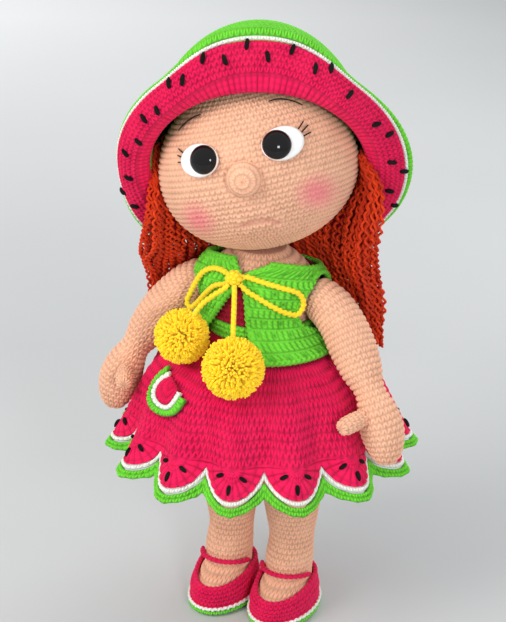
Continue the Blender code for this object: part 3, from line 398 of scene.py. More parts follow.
def knit(
    name,
    surface,
    stitches,
    rows,
    stitch=single_stitch,
    depth=0.0009,
    fine=(5, 5),
    around=True,
    caps=(False, False),
    lean=0.5,
    thick=0.0,
    flip=False,
    extra=None,
    double=False,
    hole=None,
):
    """A crocheted cloth over surface(u, v), with its stitches raised from it.

    stitches is their number in a row, or a function of the row's v. thick closes the
    cloth with a plain inner side that far below, or one with stitches if double.
    """
    count = stitches if callable(stitches) else (lambda v: np.full_like(v, stitches))
    middles = (np.arange(rows) + 0.5) / rows
    columns = int(np.max(count(middles)) * fine[0]) + (0 if around else 1)
    u = np.arange(columns) / (columns if around else columns - 1)
    v = np.linspace(0, 1, rows * fine[1] + 1)
    u, v = np.meshgrid(u, v)
    row = np.clip(np.floor(v * rows + 1e-6), 0, rows - 1)
    b = np.clip(v * rows - row, 0, 1)
    a = np.mod(u * np.round(count((row + 0.5) / rows)) + lean * row, 1.0)
    height = stitch(a, b)
    points = surface(u, v)
    normals = grid_normals(points, around) * (-1 if flip else 1)
    fields = {"relief": height}
    lift = depth * (height - 0.55)
    if extra:
        more, fields_more = extra(u, v, points, height)
        lift = lift + more
        fields.update(fields_more)
    outer = points + normals * lift[..., None]
    if not thick:
        return grid_object(name, outer, fields, around, *caps, flip=flip)
    below = thick + (lift if double else 0.0) + np.zeros_like(height)
    inner = points - normals * below[..., None]
    whole = np.concatenate([outer, inner[::-1]], 0)
    # Painted shade: a plain inner side gets relief 0, the yarn's darkest colour.
    share = 1.0 if double else 0.0
    fields = {k: np.concatenate([f, f[::-1] * share], 0) for k, f in fields.items()}
    if around:
        whole = np.concatenate([whole, whole[:1]], 0)
        fields = {k: np.concatenate([f, f[:1]], 0) for k, f in fields.items()}
        made = grid_object(name, whole, fields, True, flip=flip)
        if hole:
            pierce(made, points, hole, around)
        weld(made)
        return made
    # an open cloth: outer and inner rows closed at the rows' ends too
    whole = np.concatenate([whole, whole[:1]], 0)
    fields = {k: np.concatenate([f, f[:1]], 0) for k, f in fields.items()}
    made = grid_object(name, whole, fields, False, flip=flip)
    close_sides(made, outer.shape[0], columns)
    if hole:
        pierce(made, points, hole, around)
    weld(made)
    return made


def pierce(made, points, hole, around):
    """Opens a hole through a cloth's outer and inner sides, and closes its rim."""
    rows, columns = points.shape[:2]
    middles = (points + np.roll(points, -1, 1))[:-1] + (points + np.roll(points, -1, 1))[1:]
    out = hole(middles / 4)
    if not around:
        out[:, -1] = False
    work = bmesh.new()
    work.from_mesh(made.data)
    work.verts.ensure_lookup_table()
    spots = work.verts

    def near(r, c):
        return spots[r * columns + c % columns]

    def far(r, c):
        return spots[(2 * rows - 1 - r) * columns + c % columns]

    gone, rims, edge = [], [], set()
    for r, c in zip(*np.where(out)):
        corners = ((r, c), (r, c + 1), (r + 1, c + 1), (r + 1, c))
        for side in (near, far):
            verts = [side(*corner) for corner in corners]
            faces = set(verts[0].link_faces) & set(verts[2].link_faces)
            gone += [face for face in faces if len(face.verts) == 4]
        beside = ((r - 1, c), (r, c + 1), (r + 1, c), (r, c - 1))
        for k, (br, bc) in enumerate(beside):
            if br == rows - 1:
                low, high = corners[k], corners[(k + 1) % 4]
                ring = [near(*low), near(*high), far(*high), far(*low)]
                gone.append(work.faces.get(ring))
            elif br < 0:
                low, high = corners[k], corners[(k + 1) % 4]
                closing = 2 * rows * columns
                ring = [far(*low), far(*high)]
                ring += [spots[closing + high[1] % columns], spots[closing + low[1] % columns]]
                gone.append(work.faces.get(ring))
            elif not out[br, bc % columns]:
                rims.append((corners[k], corners[(k + 1) % 4]))
                edge.update((r2, c2 % columns) for r2, c2 in rims[-1])
    bmesh.ops.delete(work, geom=list(set(gone)), context="FACES_ONLY")
    for low, high in rims:
        ring = [near(*low), near(*high), far(*high), far(*low)]
        if work.faces.get(ring) is None:
            work.faces.new(ring).smooth = True
    for spot in edge:
        for side in (near, far):
            place = side(*spot).co
            gap = math.hypot(place.y - ARMHOLE[0], place.z - ARMHOLE[1])
            grow = ARMHOLE_RADIUS / gap
            if abs(gap - ARMHOLE_RADIUS) > 0.0012:
                continue
            place.y = ARMHOLE[0] + (place.y - ARMHOLE[0]) * grow
            place.z = ARMHOLE[1] + (place.z - ARMHOLE[1]) * grow
    loose = [vert for vert in work.verts if not vert.link_faces]
    bmesh.ops.delete(work, geom=loose, context="VERTS")
    bmesh.ops.recalc_face_normals(work, faces=work.faces)
    work.to_mesh(made.data)
    work.free()


def armhole(points):
    """Whether points lie in the arms' holes."""
    far = np.hypot(points[..., 1] - ARMHOLE[0], points[..., 2] - ARMHOLE[1])
    return (far < ARMHOLE_RADIUS) & (np.abs(points[..., 0]) > ARM_ROOT[0] - SKIN)


def weld(made, distance=1e-7):
    """Joins the doubled points of a closed grid."""
    work = bmesh.new()
    work.from_mesh(made.data)
    bmesh.ops.remove_doubles(work, verts=work.verts, dist=distance)
    work.to_mesh(made.data)
    work.free()
    made.data.update()


def close_sides(made, rows, columns):
    """Fills the two open sides of a cloth made of an outer and an inner grid."""
    work = bmesh.new()
    work.from_mesh(made.data)
    work.verts.ensure_lookup_table()
    for column, turn in ((0, 1), (columns - 1, -1)):
        for r in range(rows - 1):
            low, high = r * columns + column, (r + 1) * columns + column
            inner_low = (2 * rows - 1 - r) * columns + column
            inner_high = (2 * rows - 2 - r) * columns + column
            ring = [work.verts[k] for k in (low, high, inner_high, inner_low)]
            face = work.faces.new(ring[::turn])
            face.smooth = True
    work.to_mesh(made.data)
    work.free()


def bar(points, radius, sides, name, fields=None, taper=None):
    """Points of a tube's rings along a line of points."""
    points = np.asarray(points, float)
    along = unit(np.gradient(points, axis=0))
    up = np.array([0.0, 0.0, 1.0]) if abs(along[0, 2]) < 0.9 else np.array([1.0, 0.0, 0.0])
    side = unit(np.cross(along[0], up))
    sides_axes = []
    for way in along:
        side = unit(side - way * (side @ way))
        sides_axes.append(side)
    first = np.array(sides_axes)
    second = np.cross(along, first)
    turn = np.arange(sides) / sides * TAU
    widths = np.full(len(points), radius) if taper is None else radius * np.asarray(taper)
    ring = first[:, None] * np.cos(turn)[:, None] + second[:, None] * np.sin(turn)[:, None]
    return points[:, None] + ring * widths[:, None, None]


def strands_object(name, tubes, reliefs=None, tints=None):
    """One mesh of many closed tubes, each a grid of rings."""
    places, quads, caps, values, tones, start = [], [], [], [], [], 0
    for k, rings in enumerate(tubes):
        rows, columns = rings.shape[:2]
        places.append(rings.reshape(-1, 3))
        r, c = np.meshgrid(np.arange(rows - 1), np.arange(columns), indexing="ij")
        right = (c + 1) % columns
        quad = np.stack(
            [r * columns + c, r * columns + right, (r + 1) * columns + right, (r + 1) * columns + c],
            -1,
        )
        quads.append(quad.reshape(-1, 4) + start)
        ends = np.stack([np.arange(columns)[::-1], np.arange(columns) + (rows - 1) * columns])
        caps.append(ends + start)
        value = np.full((rows, columns), 0.7) if reliefs is None else reliefs[k]
        values.append(np.broadcast_to(value, (rows, columns)).reshape(-1))
        tones.append(np.full(rows * columns, tints[k] if tints else 0.0))
        start += rows * columns
    faces = [np.concatenate(quads)]
    faces.append(np.concatenate(caps))
    fields = {"relief": np.concatenate(values), "tint": np.concatenate(tones)}
    return face_object(name, np.concatenate(places), faces, fields)


class Shade:
    """A number or colour on its way through a material's nodes."""

    def __init__(self, tree, socket=None):
        self.tree, self.socket = tree, socket

    def add(self, kind, settings, inputs, out=0):
        """A node of a kind: its settings first, then values or links of its sockets."""
        node = self.tree.nodes.new(kind)
        for key, value in settings.items():
            if key == "stops":
                ramp = node.color_ramp.elements
                while len(ramp) < len(value):
                    ramp.new(0.5)
                for element, (place, tone) in zip(ramp, value):
                    element.position, element.color = place, tone
            else:
                setattr(node, key, value)
        for key, value in inputs.items():
            if isinstance(value, Shade):
                self.tree.links.new(value.socket, node.inputs[key])
            else:
                node.inputs[key].default_value = value
        return Shade(self.tree, node.outputs[out])

    def maths(self, operation, other, swap=False):
        pair = {0: other, 1: self} if swap else {0: self, 1: other}
        return self.add("ShaderNodeMath", {"operation": operation}, pair)

    def __add__(self, other):
        return self.maths("ADD", other)

    __radd__ = __add__

    def __sub__(self, other):
        return self.maths("SUBTRACT", other)

    def __rsub__(self, other):
        return self.maths("SUBTRACT", other, swap=True)

    def __mul__(self, other):
        return self.maths("MULTIPLY", other)

    __rmul__ = __mul__

    def clamp(self):
        return self.add("ShaderNodeClamp", {}, {0: self})

    def mix(self, low, high):
        """Colour between two others, with this number as the share of the second."""
        return self.add(
            "ShaderNodeMix", {"data_type": "RGBA"}, {0: self, 6: low, 7: high}, 2
        )


def blank_material(name):
    """A new material, its shader and a start for its nodes."""
    made = bpy.data.materials.new(name)
    made.use_nodes = True
    tree = made.node_tree
    shader = tree.nodes["Principled BSDF"]
    return made, Shade(tree), shader


def feed(paint, shader, **sources):
    """Links shades to the shader's sockets."""
    for key, source in sources.items():
        paint.tree.links.new(source.socket, shader.inputs[key.replace("_", " ")])


def linear(colour):
    """A colour as it looks, in the renderer's own numbers."""
    return tuple(
        c / 12.92 if c <= 0.04045 else ((c + 0.055) / 1.055) ** 2.4 for c in colour[:3]
    ) + (1.0,)


def yarn(name, colour, deep=0.45, fuzz=0.35, sheen=0.25, tint=None, glow=0.0):
    """Crochet yarn: painted shade darkens it between stitches, where the relief is low; mottled, with fibres on its
    surface.
    """
    made, paint, shader = blank_material(name)
    top = linear(colour)
    # Painted shade: low, the colour times deep, is what the relief mix gives the hollows between stitches.
    low = tuple(c * deep for c in top[:3]) + (1.0,)
    pale = tuple(min(c * 1.12 + 0.015, 1.0) for c in top[:3]) + (1.0,)
    place = paint.add("ShaderNodeTexCoord", {}, {}, "Object")
    relief = paint.add("ShaderNodeAttribute", {"attribute_name": "relief"}, {}, "Fac")
    fibre = paint.add(
        "ShaderNodeTexNoise", {}, {"Vector": place, "Scale": 1500.0, "Detail": 3.0, "Roughness": 0.6}
    )
    patch = paint.add("ShaderNodeTexNoise", {}, {"Vector": place, "Scale": 110.0, "Detail": 2.0})
    # Painted shade: the colour falls towards low where the stitch relief is low.
    share = (relief * 1.15 + fibre * 0.35 + (-0.17)).clamp()
    body = share.mix(low, top)
    mottle = (patch * 1.6 + fibre * 0.5 + (-0.75)).clamp()
    body = (mottle * 0.55).mix(body, pale)
    if tint:
        amount = paint.add("ShaderNodeAttribute", {"attribute_name": "tint"}, {}, "Fac")
        body = (amount * (fibre * 0.5 + 0.65)).clamp().mix(body, linear(tint))
    bump = paint.add(
        "ShaderNodeBump", {}, {"Height": fibre, "Strength": fuzz, "Distance": 0.0005}
    )
    rough = relief * 0.08 + 0.78
    feed(paint, shader, Base_Color=body, Normal=bump, Roughness=rough)
    # Painted light: a painted glow makes the yarn's own colour shine, though it is no lamp.
    if glow:
        feed(paint, shader, Emission_Color=body)
        shader.inputs["Emission Strength"].default_value = glow
    shader.inputs["Sheen Weight"].default_value = sheen
    shader.inputs["Sheen Roughness"].default_value = 0.5
    shader.inputs["Specular IOR Level"].default_value = 0.25
    return made


def dress_piece(piece, material, body, slot=None, replaces=()):
    """Gives a piece its material, the body it moves with and the nodes it stands for."""
    piece.data.materials.clear()
    piece.data.materials.append(material)
    if body:
        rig.ride(piece, body)
    if slot:
        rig.slot(piece, slot)
    if replaces:
        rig.replaces(piece, *replaces)
    return piece


def look(name):
    """A material made once, by its name."""
    return bpy.data.materials[name]


def rotation(angle, axis):
    return np.array(Matrix.Rotation(angle, 3, axis))


HEAD_TURN = rotation(HEAD_YAW, "Z") @ rotation(HEAD_ROLL, "Y") @ rotation(HEAD_PITCH, "X")


def head_place(directions, out=0.0):
    """Points of the head's skin in directions of its own frame."""
    wide = HEAD_HALF[0] * (1 - HEAD_CHEEK * directions[..., 2]) + out
    local = np.stack(
        [
            wide * directions[..., 0],
            (HEAD_HALF[1] + out) * directions[..., 1],
            (HEAD_HALF[2] + out) * directions[..., 2],
        ],
        -1,
    )
    return local @ HEAD_TURN.T + np.array(HEAD_CENTRE)


def face_place(aside, above, out=0.0):
    """Points of the face by their distance aside and above its middle."""
    aside, above = np.asarray(aside, float), np.asarray(above, float)
    x, z = aside / HEAD_HALF[0], above / HEAD_HALF[2]
    y = -np.sqrt(np.maximum(1 - x**2 - z**2, 0.01))
    directions = np.stack([x, y, z], -1)
    outward = unit(directions / np.array(HEAD_HALF))
    return head_place(directions) + (outward * out) @ HEAD_TURN.T


def torso_half(height):
    at = (height - TORSO_BOTTOM) / (TORSO_TOP - TORSO_BOTTOM)
    table = np.array(TORSO_ROWS)
    return smooth(table[:, 0], table[:, 1:], at) * np.array(HIP_HALF)


def upright(rows, aside=0.0, turn=0.0):
    """Surface round an upright axis through rows of height, widths and shift forward."""
    table = np.array(rows, float)

    def surface(u, v):
        height = table[0, 0] + (table[-1, 0] - table[0, 0]) * v
        wide, deep, shift = np.moveaxis(smooth(table[:, 0], table[:, 1:], height), -1, 0)
        angle = TAU * u + turn
        return np.stack(
            [aside + wide * np.cos(angle), -shift + deep * np.sin(angle), height], -1
        )

    return surface


def by_girth(surface, rows, wide):
    """Stitches in a row by the length of that row."""

    def count(v):
        u = np.linspace(0, 1, 73)
        out = []
        for value in np.atleast_1d(v):
            ring = surface(u, np.full_like(u, value))
            out.append(np.linalg.norm(np.diff(ring, axis=0), axis=1).sum() / wide)
        return np.maximum(np.round(np.array(out)), 6).reshape(np.shape(v))

    levels = (np.arange(rows) + 0.5) / rows
    table = count(levels)
    return lambda v: table[np.clip((np.asarray(v) * rows).astype(int), 0, rows - 1)]


class CrochetDollSettings(bpy.types.PropertyGroup):
    """Sizes and colours of the doll's yarns."""

    stitch_width: bpy.props.FloatProperty(
        name="Stitch Width",
        description="Width of one single crochet",
        default=0.0031,
        unit="LENGTH",
    )
    row_height: bpy.props.FloatProperty(
        name="Row Height",
        description="Height of one round of single crochet",
        default=0.0030,
        unit="LENGTH",
    )
    stitch_depth: bpy.props.FloatProperty(
        name="Stitch Depth",
        description="How far a stitch stands out of its cloth",
        default=0.0010,
        unit="LENGTH",
    )
    cord_radius: bpy.props.FloatProperty(
        name="Cord Radius",
        description="Radius of the tie cord",
        default=0.0015,
        unit="LENGTH",
    )
    hair_radius: bpy.props.FloatProperty(
        name="Hair Radius",
        description="Radius of one strand of the yarn hair",
        default=0.00075,
        unit="LENGTH",
    )
    skin: bpy.props.FloatVectorProperty(
        name="Skin", description="Yarn of the skin", subtype="COLOR_GAMMA",
        default=(0.97, 0.74, 0.61),
    )
    pink: bpy.props.FloatVectorProperty(
        name="Pink", description="Yarn of the skirt and the brim", subtype="COLOR_GAMMA",
        default=(0.92, 0.06, 0.33),
    )
    crimson: bpy.props.FloatVectorProperty(
        name="Crimson", description="Yarn of the bodice", subtype="COLOR_GAMMA",
        default=(0.62, 0.02, 0.17),
    )
    green: bpy.props.FloatVectorProperty(
        name="Green", description="Yarn of the bolero and the rind", subtype="COLOR_GAMMA",
        default=(0.45, 0.86, 0.22),
    )
    white: bpy.props.FloatVectorProperty(
        name="White", description="Yarn of the pale rounds", subtype="COLOR_GAMMA",
        default=(0.95, 0.96, 0.92),
    )
    yellow: bpy.props.FloatVectorProperty(
        name="Yellow", description="Yarn of the cord and the pompoms", subtype="COLOR_GAMMA",
        default=(1.0, 0.85, 0.16),
    )
    hair: bpy.props.FloatVectorProperty(
        name="Hair", description="Yarn of the hair", subtype="COLOR_GAMMA",
        default=(0.95, 0.27, 0.05),
    )


def settings():
    return bpy.context.scene.crochet_doll


class DOLL_OT_yarns(bpy.types.Operator):
    """Makes the yarns, felt, plastic, wood and thread"""

    bl_idname = "doll.yarns"
    bl_label = "Yarns and Finishes"

    def execute(self, context):
        tone = settings()
        # deep is each yarn's painted shade between stitches; the yellow yarn gets a painted glow that brightens it.
        yarn("skin_wool", tone.skin, deep=0.62, sheen=0.08, tint=(0.94, 0.45, 0.53))
        yarn("pink_wool", tone.pink, deep=0.42, sheen=0.06)
        yarn("crimson_wool", tone.crimson, deep=0.42, sheen=0.05)
        yarn("green_wool", tone.green, deep=0.42, sheen=0.06)
        yarn("white_wool", tone.white, deep=0.66, sheen=0.05)
        yarn("yellow_wool", tone.yellow, deep=0.80, sheen=0.12, glow=0.07)
        yarn("hair_wool", tone.hair, deep=0.42, sheen=0.03, tint=(0.64, 0.12, 0.03))
        yarn("seed_thread", (0.02, 0.02, 0.02), deep=0.5, sheen=0.0)
        yarn("lash_thread", (0.10, 0.07, 0.06), deep=0.6, sheen=0.1)
        yarn("white_felt", (0.96, 0.96, 0.95), deep=0.85, fuzz=0.5)
        for name, colour, rough, coat, shine in (
            ("eye_gloss", (0.004, 0.0035, 0.004), 0.05, 0.0, 0.35),
            ("washer_plastic", (0.86, 0.86, 0.84), 0.38, 0.1, 0.5),
        ):
            made, paint, shader = blank_material(name)
            place = paint.add("ShaderNodeTexCoord", {}, {}, "Object")
            grain = paint.add(
                "ShaderNodeTexNoise", {}, {"Vector": place, "Scale": 700.0, "Detail": 2.0}
            )
            tones = grain.mix(
                tuple(c * 0.9 for c in colour) + (1.0,), tuple(c * 1.1 for c in colour) + (1.0,)
            )
            feed(paint, shader, Base_Color=tones, Roughness=grain * 0.04 + rough)
            shader.inputs["Coat Weight"].default_value = coat
            shader.inputs["Coat Roughness"].default_value = 0.03
            shader.inputs["Specular IOR Level"].default_value = shine
        made, paint, shader = blank_material("rod_beech")
        place = paint.add("ShaderNodeTexCoord", {}, {}, "Object")
        stretched = paint.add(
            "ShaderNodeMapping", {}, {"Vector": place, "Scale": (900.0, 900.0, 60.0)}
        )
        grain = paint.add("ShaderNodeTexNoise", {}, {"Vector": stretched, "Scale": 1.0, "Detail": 4.0})
        tones = grain.mix((0.30, 0.16, 0.07, 1.0), (0.62, 0.42, 0.24, 1.0))
        bump = paint.add("ShaderNodeBump", {}, {"Height": grain, "Strength": 0.3, "Distance": 0.0002})
        feed(paint, shader, Base_Color=tones, Normal=bump, Roughness=grain * 0.2 + 0.5)
        return {"FINISHED"}


class DOLL_OT_setting(bpy.types.Operator):
    """Makes the pale floor, the lamps and the camera"""

    bl_idname = "doll.setting"
    bl_label = "Floor, Lamps and Camera"

    def execute(self, context):
        scene = bpy.context.scene
        scene.view_settings.view_transform = "Standard"
        right = Vector((math.cos(CAMERA_AZIMUTH), math.sin(CAMERA_AZIMUTH), 0))
        level = math.cos(CAMERA_ELEVATION)
        back = Vector(
            (
                math.sin(CAMERA_AZIMUTH) * level,
                -math.cos(CAMERA_AZIMUTH) * level,
                math.sin(CAMERA_ELEVATION),
            )
        )
        camera = bpy.data.objects.new("camera", bpy.data.cameras.new("camera"))
        turn = Matrix((right, back.cross(right), back)).transposed().to_4x4()
        look_at = right * CAMERA_LOOK_ASIDE + Vector((0, 0, CAMERA_LOOK_HEIGHT))
        camera.matrix_world = Matrix.Translation(look_at + back * CAMERA_DISTANCE) @ turn
        camera.data.sensor_width = SENSOR
        camera.data.lens = CAMERA_FOCAL_PIXELS / IMAGE_HEIGHT * SENSOR
        camera.data.clip_start = 0.05
        scene.collection.objects.link(camera)
        scene.camera = camera

        half, step = 1.6, 24
        turns = np.linspace(0, TAU, 4 * step, endpoint=False)
        rings = np.linspace(0, 1, step)[:, None] ** 2 * half
        points = np.stack(
            [rings * np.cos(turns), rings * np.sin(turns), np.zeros((step, 4 * step))], -1
        )
        floor = grid_object("floor", points[::-1] - np.array([0, 0, 0.0002]))
        made, paint, shader = blank_material("pale_floor")
        place = paint.add("ShaderNodeTexCoord", {}, {}, "Object")
        cloud = paint.add("ShaderNodeTexNoise", {}, {"Vector": place, "Scale": 3.0, "Detail": 2.0})
        tones = cloud.mix((0.51, 0.52, 0.52, 1.0), (0.57, 0.58, 0.58, 1.0))
        aside = paint.add("ShaderNodeSeparateXYZ", {}, {"Vector": place}, "X")
        ahead = paint.add("ShaderNodeSeparateXYZ", {}, {"Vector": place}, "Y")
        level, lean = math.cos(CAMERA_AZIMUTH), math.sin(CAMERA_AZIMUTH)
        # Painted light: the floor glows, brighter towards its far side and its lit side, as a pool of light.
        far = (ahead * level - aside * lean + (-0.35)).clamp()
        light = (aside * (-0.55 * level) + ahead * (-0.55 * lean) + 0.2475).clamp()
        glow = (far * light).mix((0.0, 0.0, 0.0, 1.0), (1.0, 1.0, 1.0, 1.0))
        feed(paint, shader, Base_Color=tones, Emission_Color=glow)
        shader.inputs["Emission Strength"].default_value = 1.0
        shader.inputs["Roughness"].default_value = 0.6
        floor.data.materials.append(made)
        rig.stage(floor)

        world = bpy.data.worlds.new("studio")
        scene.world = world
        world.use_nodes = True
        tree = world.node_tree
        paint = Shade(tree)
        room = tree.nodes["Background"]
        room.inputs["Color"].default_value = (0.95, 0.97, 1.0, 1.0)
        room.inputs["Strength"].default_value = 0.68
        path = tree.nodes.new("ShaderNodeLightPath")
        seen = Shade(tree, path.outputs["Is Camera Ray"])
        shine = Shade(tree, path.outputs["Is Glossy Ray"])
        through = Shade(tree, path.outputs["Is Transmission Ray"])
        place = paint.add("ShaderNodeTexCoord", {}, {}, "Generated")
        high = paint.add("ShaderNodeSeparateXYZ", {}, {"Vector": place}, "Z")
        backdrop = paint.add(
            "ShaderNodeValToRGB",
            {"stops": ((0.3, (0.58, 0.60, 0.61, 1.0)), (0.75, (0.66, 0.69, 0.70, 1.0)))},
            {"Fac": high * 0.5 + 0.5},
        )
        wall = paint.add("ShaderNodeBackground", {}, {"Color": backdrop, "Strength": 1.0})
        share = (seen + shine + through).clamp()
        both = tree.nodes.new("ShaderNodeMixShader")
        tree.links.new(share.socket, both.inputs[0])
        tree.links.new(room.outputs[0], both.inputs[1])
        tree.links.new(wall.socket, both.inputs[2])
        tree.links.new(both.outputs[0], tree.nodes["World Output"].inputs[0])

        for name, place, aim_at, size, power, colour in (
            ("key_lamp", (-0.55, -0.95, 1.05), (0, 0, 0.2), 0.8, 12.0, (1.0, 0.97, 0.93)),
            ("fill_lamp", (0.85, -0.95, 0.62), (0, 0, 0.25), 0.26, 5.5, (0.95, 0.97, 1.0)),
            ("rim_lamp", (0.3, 0.95, 0.9), (0, 0, 0.22), 0.7, 6.0, (1.0, 1.0, 1.0)),
        ):
            lamp = bpy.data.objects.new(name, bpy.data.lights.new(name, "AREA"))
            lamp.data.size, lamp.data.energy, lamp.data.color = size, power, colour
            lamp.location = place
            lamp.visible_glossy = name == "fill_lamp"
            way = Vector(aim_at) - Vector(place)
            lamp.rotation_euler = way.to_track_quat("-Z", "Y").to_euler()
            scene.collection.objects.link(lamp)
        return {"FINISHED"}


MOUTH_LINE = ((-8.5, -27.0), (-4.2, -25.6), (-0.6, -25.3), (3.0, -25.7), (6.6, -26.9), (9.2, -29.0))
NOSE_SPOT = (-0.0006, -0.0020)
NOSE_RADIUS = 0.0090
EYE_SPOT = (0.0186, 0.0107)
EYE_RADIUS = 0.0075
EYE_RISE = 0.0050
FELT_HALF = (9.4, 7.1)
FELT_ASIDE = 2.9
BLUSH_SPOTS = ((-31.5, -19.8), (32.0, -18.0))
BROWS = (
    ((-32.8, 25.8), (-29.5, 28.2), (-26.0, 30.0), (-22.0, 31.3), (-18.5, 31.8)),
    ((18.0, 31.2), (22.0, 31.3), (26.0, 30.3), (30.0, 28.4), (34.0, 25.4)),
)
LASHES = (
    ((-30.2, 15.2), (-31.8, 16.6), (-33.2, 17.8)),
    ((-31.0, 13.2), (-32.6, 14.0), (-34.0, 14.6)),
    ((-31.2, 11.0), (-32.8, 11.2), (-34.2, 11.2)),
    ((29.8, 15.2), (31.6, 16.8), (33.2, 18.4)),
    ((31.0, 13.4), (33.2, 14.8), (35.0, 16.0)),
    ((31.4, 11.4), (33.6, 12.0), (35.6, 12.4)),
)


def near_line(x, y, line):
    """Distance of points from a line through places."""
    best = np.full(np.shape(x), 1e9)
    for (ax, ay), (bx, by) in zip(line, line[1:]):
        dx, dy = bx - ax, by - ay
        t = np.clip(((x - ax) * dx + (y - ay) * dy) / (dx * dx + dy * dy), 0, 1)
        best = np.minimum(best, np.hypot(x - ax - t * dx, y - ay - t * dy))
    return best


class DOLL_OT_head(bpy.types.Operator):
    """Crochets the head, with its mouth, its blush and painted shade in the mouth's crease"""

    bl_idname = "doll.head"
    bl_label = "Head"

    def execute(self, context):
        size = settings()

        def ball(u, v):
            latitude = (v - 0.5) * math.radians(172)
            turn = TAU * u
            directions = np.stack(
                [
                    np.cos(latitude) * np.cos(turn),
                    np.cos(latitude) * np.sin(turn),
                    np.sin(latitude),
                ],
                -1,
            )
            return head_place(directions)

        def face(u, v, points, height):
            local = (points - np.array(HEAD_CENTRE)) @ HEAD_TURN * 1000
            x, z, front = local[..., 0], local[..., 2], local[..., 1] < 0
            gap = near_line(x, z, MOUTH_LINE)
            lift = -0.0016 * np.exp(-((gap / 1.5) ** 2)) * front
            above = near_line(x, z - 3.4, MOUTH_LINE)
            lift = lift + 0.0012 * np.exp(-((above / 3.2) ** 2)) * front
            below = near_line(x, z + 3.2, MOUTH_LINE)
            lift = lift + 0.0008 * np.exp(-((below / 2.8) ** 2)) * front
            blush = np.zeros_like(x)
            for bx, bz in BLUSH_SPOTS:
                far = np.hypot(x - bx, z - bz) / 10.5
                blush = np.maximum(blush, np.clip(1.25 - far, 0, 1) ** 1.3)
            # Painted shade in the mouth's crease: a pinker tint and lower relief along the mouth line, which the skin
            # yarn paints darker.
            blush = 0.72 * blush * front + 0.24 * np.exp(-((gap / 1.1) ** 2)) * front
            relief = height * (1 - 0.5 * np.exp(-((gap / 1.1) ** 2)) * front)
            return lift, {"tint": blush, "relief": relief}

        rows = round(math.pi * HEAD_HALF[1] * 172 / 180 / size.row_height)
        head = knit(
            "head",
            ball,
            by_girth(ball, rows, size.stitch_width),
            rows,
            depth=size.stitch_depth,
            fine=(5, 4),
            caps=(True, True),
            extra=face,
        )
        dress_piece(
            head, look("skin_wool"), "head", "skin_yarn", ("head_skin", "head_stuffing")
        )
        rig.padded(head, fill=0.95)

        def button(u, v):
            angle = v * math.pi / 2 * 1.06
            out = NOSE_RADIUS * np.sin(np.minimum(angle, math.pi / 2) * 0.999 + 1e-3)
            rise = 0.0078 * np.cos(angle) ** 1 * (np.cos(angle) > 0) - 0.0012 * v**8
            centre = face_place(*NOSE_SPOT, 0.0)
            normal = unit(face_place(*NOSE_SPOT, 0.001) - centre)
            side = HEAD_TURN @ np.array([1.0, 0.0, 0.0])
            side = unit(side - normal * (side @ normal))
            up = np.cross(normal, side)
            turn = -TAU * u
            return (
                centre
                + out[..., None] * (np.cos(turn)[..., None] * side + np.sin(turn)[..., None] * up)
                + rise[..., None] * normal
            )

        def spiral(a, b):
            ring = np.clip(np.sin(math.pi * b), 0, 1) ** 0.6
            return 0.55 * ring + 0.45 * single_stitch(a, b)

        nose = knit(
            "nose_button",
            button,
            by_girth(button, 4, size.stitch_width * 0.86),
            4,
            spiral,
            depth=0.0010,
            fine=(6, 6),
            caps=(True, True),
            lean=0.3,
            flip=True,
        )
        dress_piece(nose, look("skin_wool"), "head", "skin_yarn", ("nose",))
        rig.padded(nose, fill=0.9)
        return {"FINISHED"}


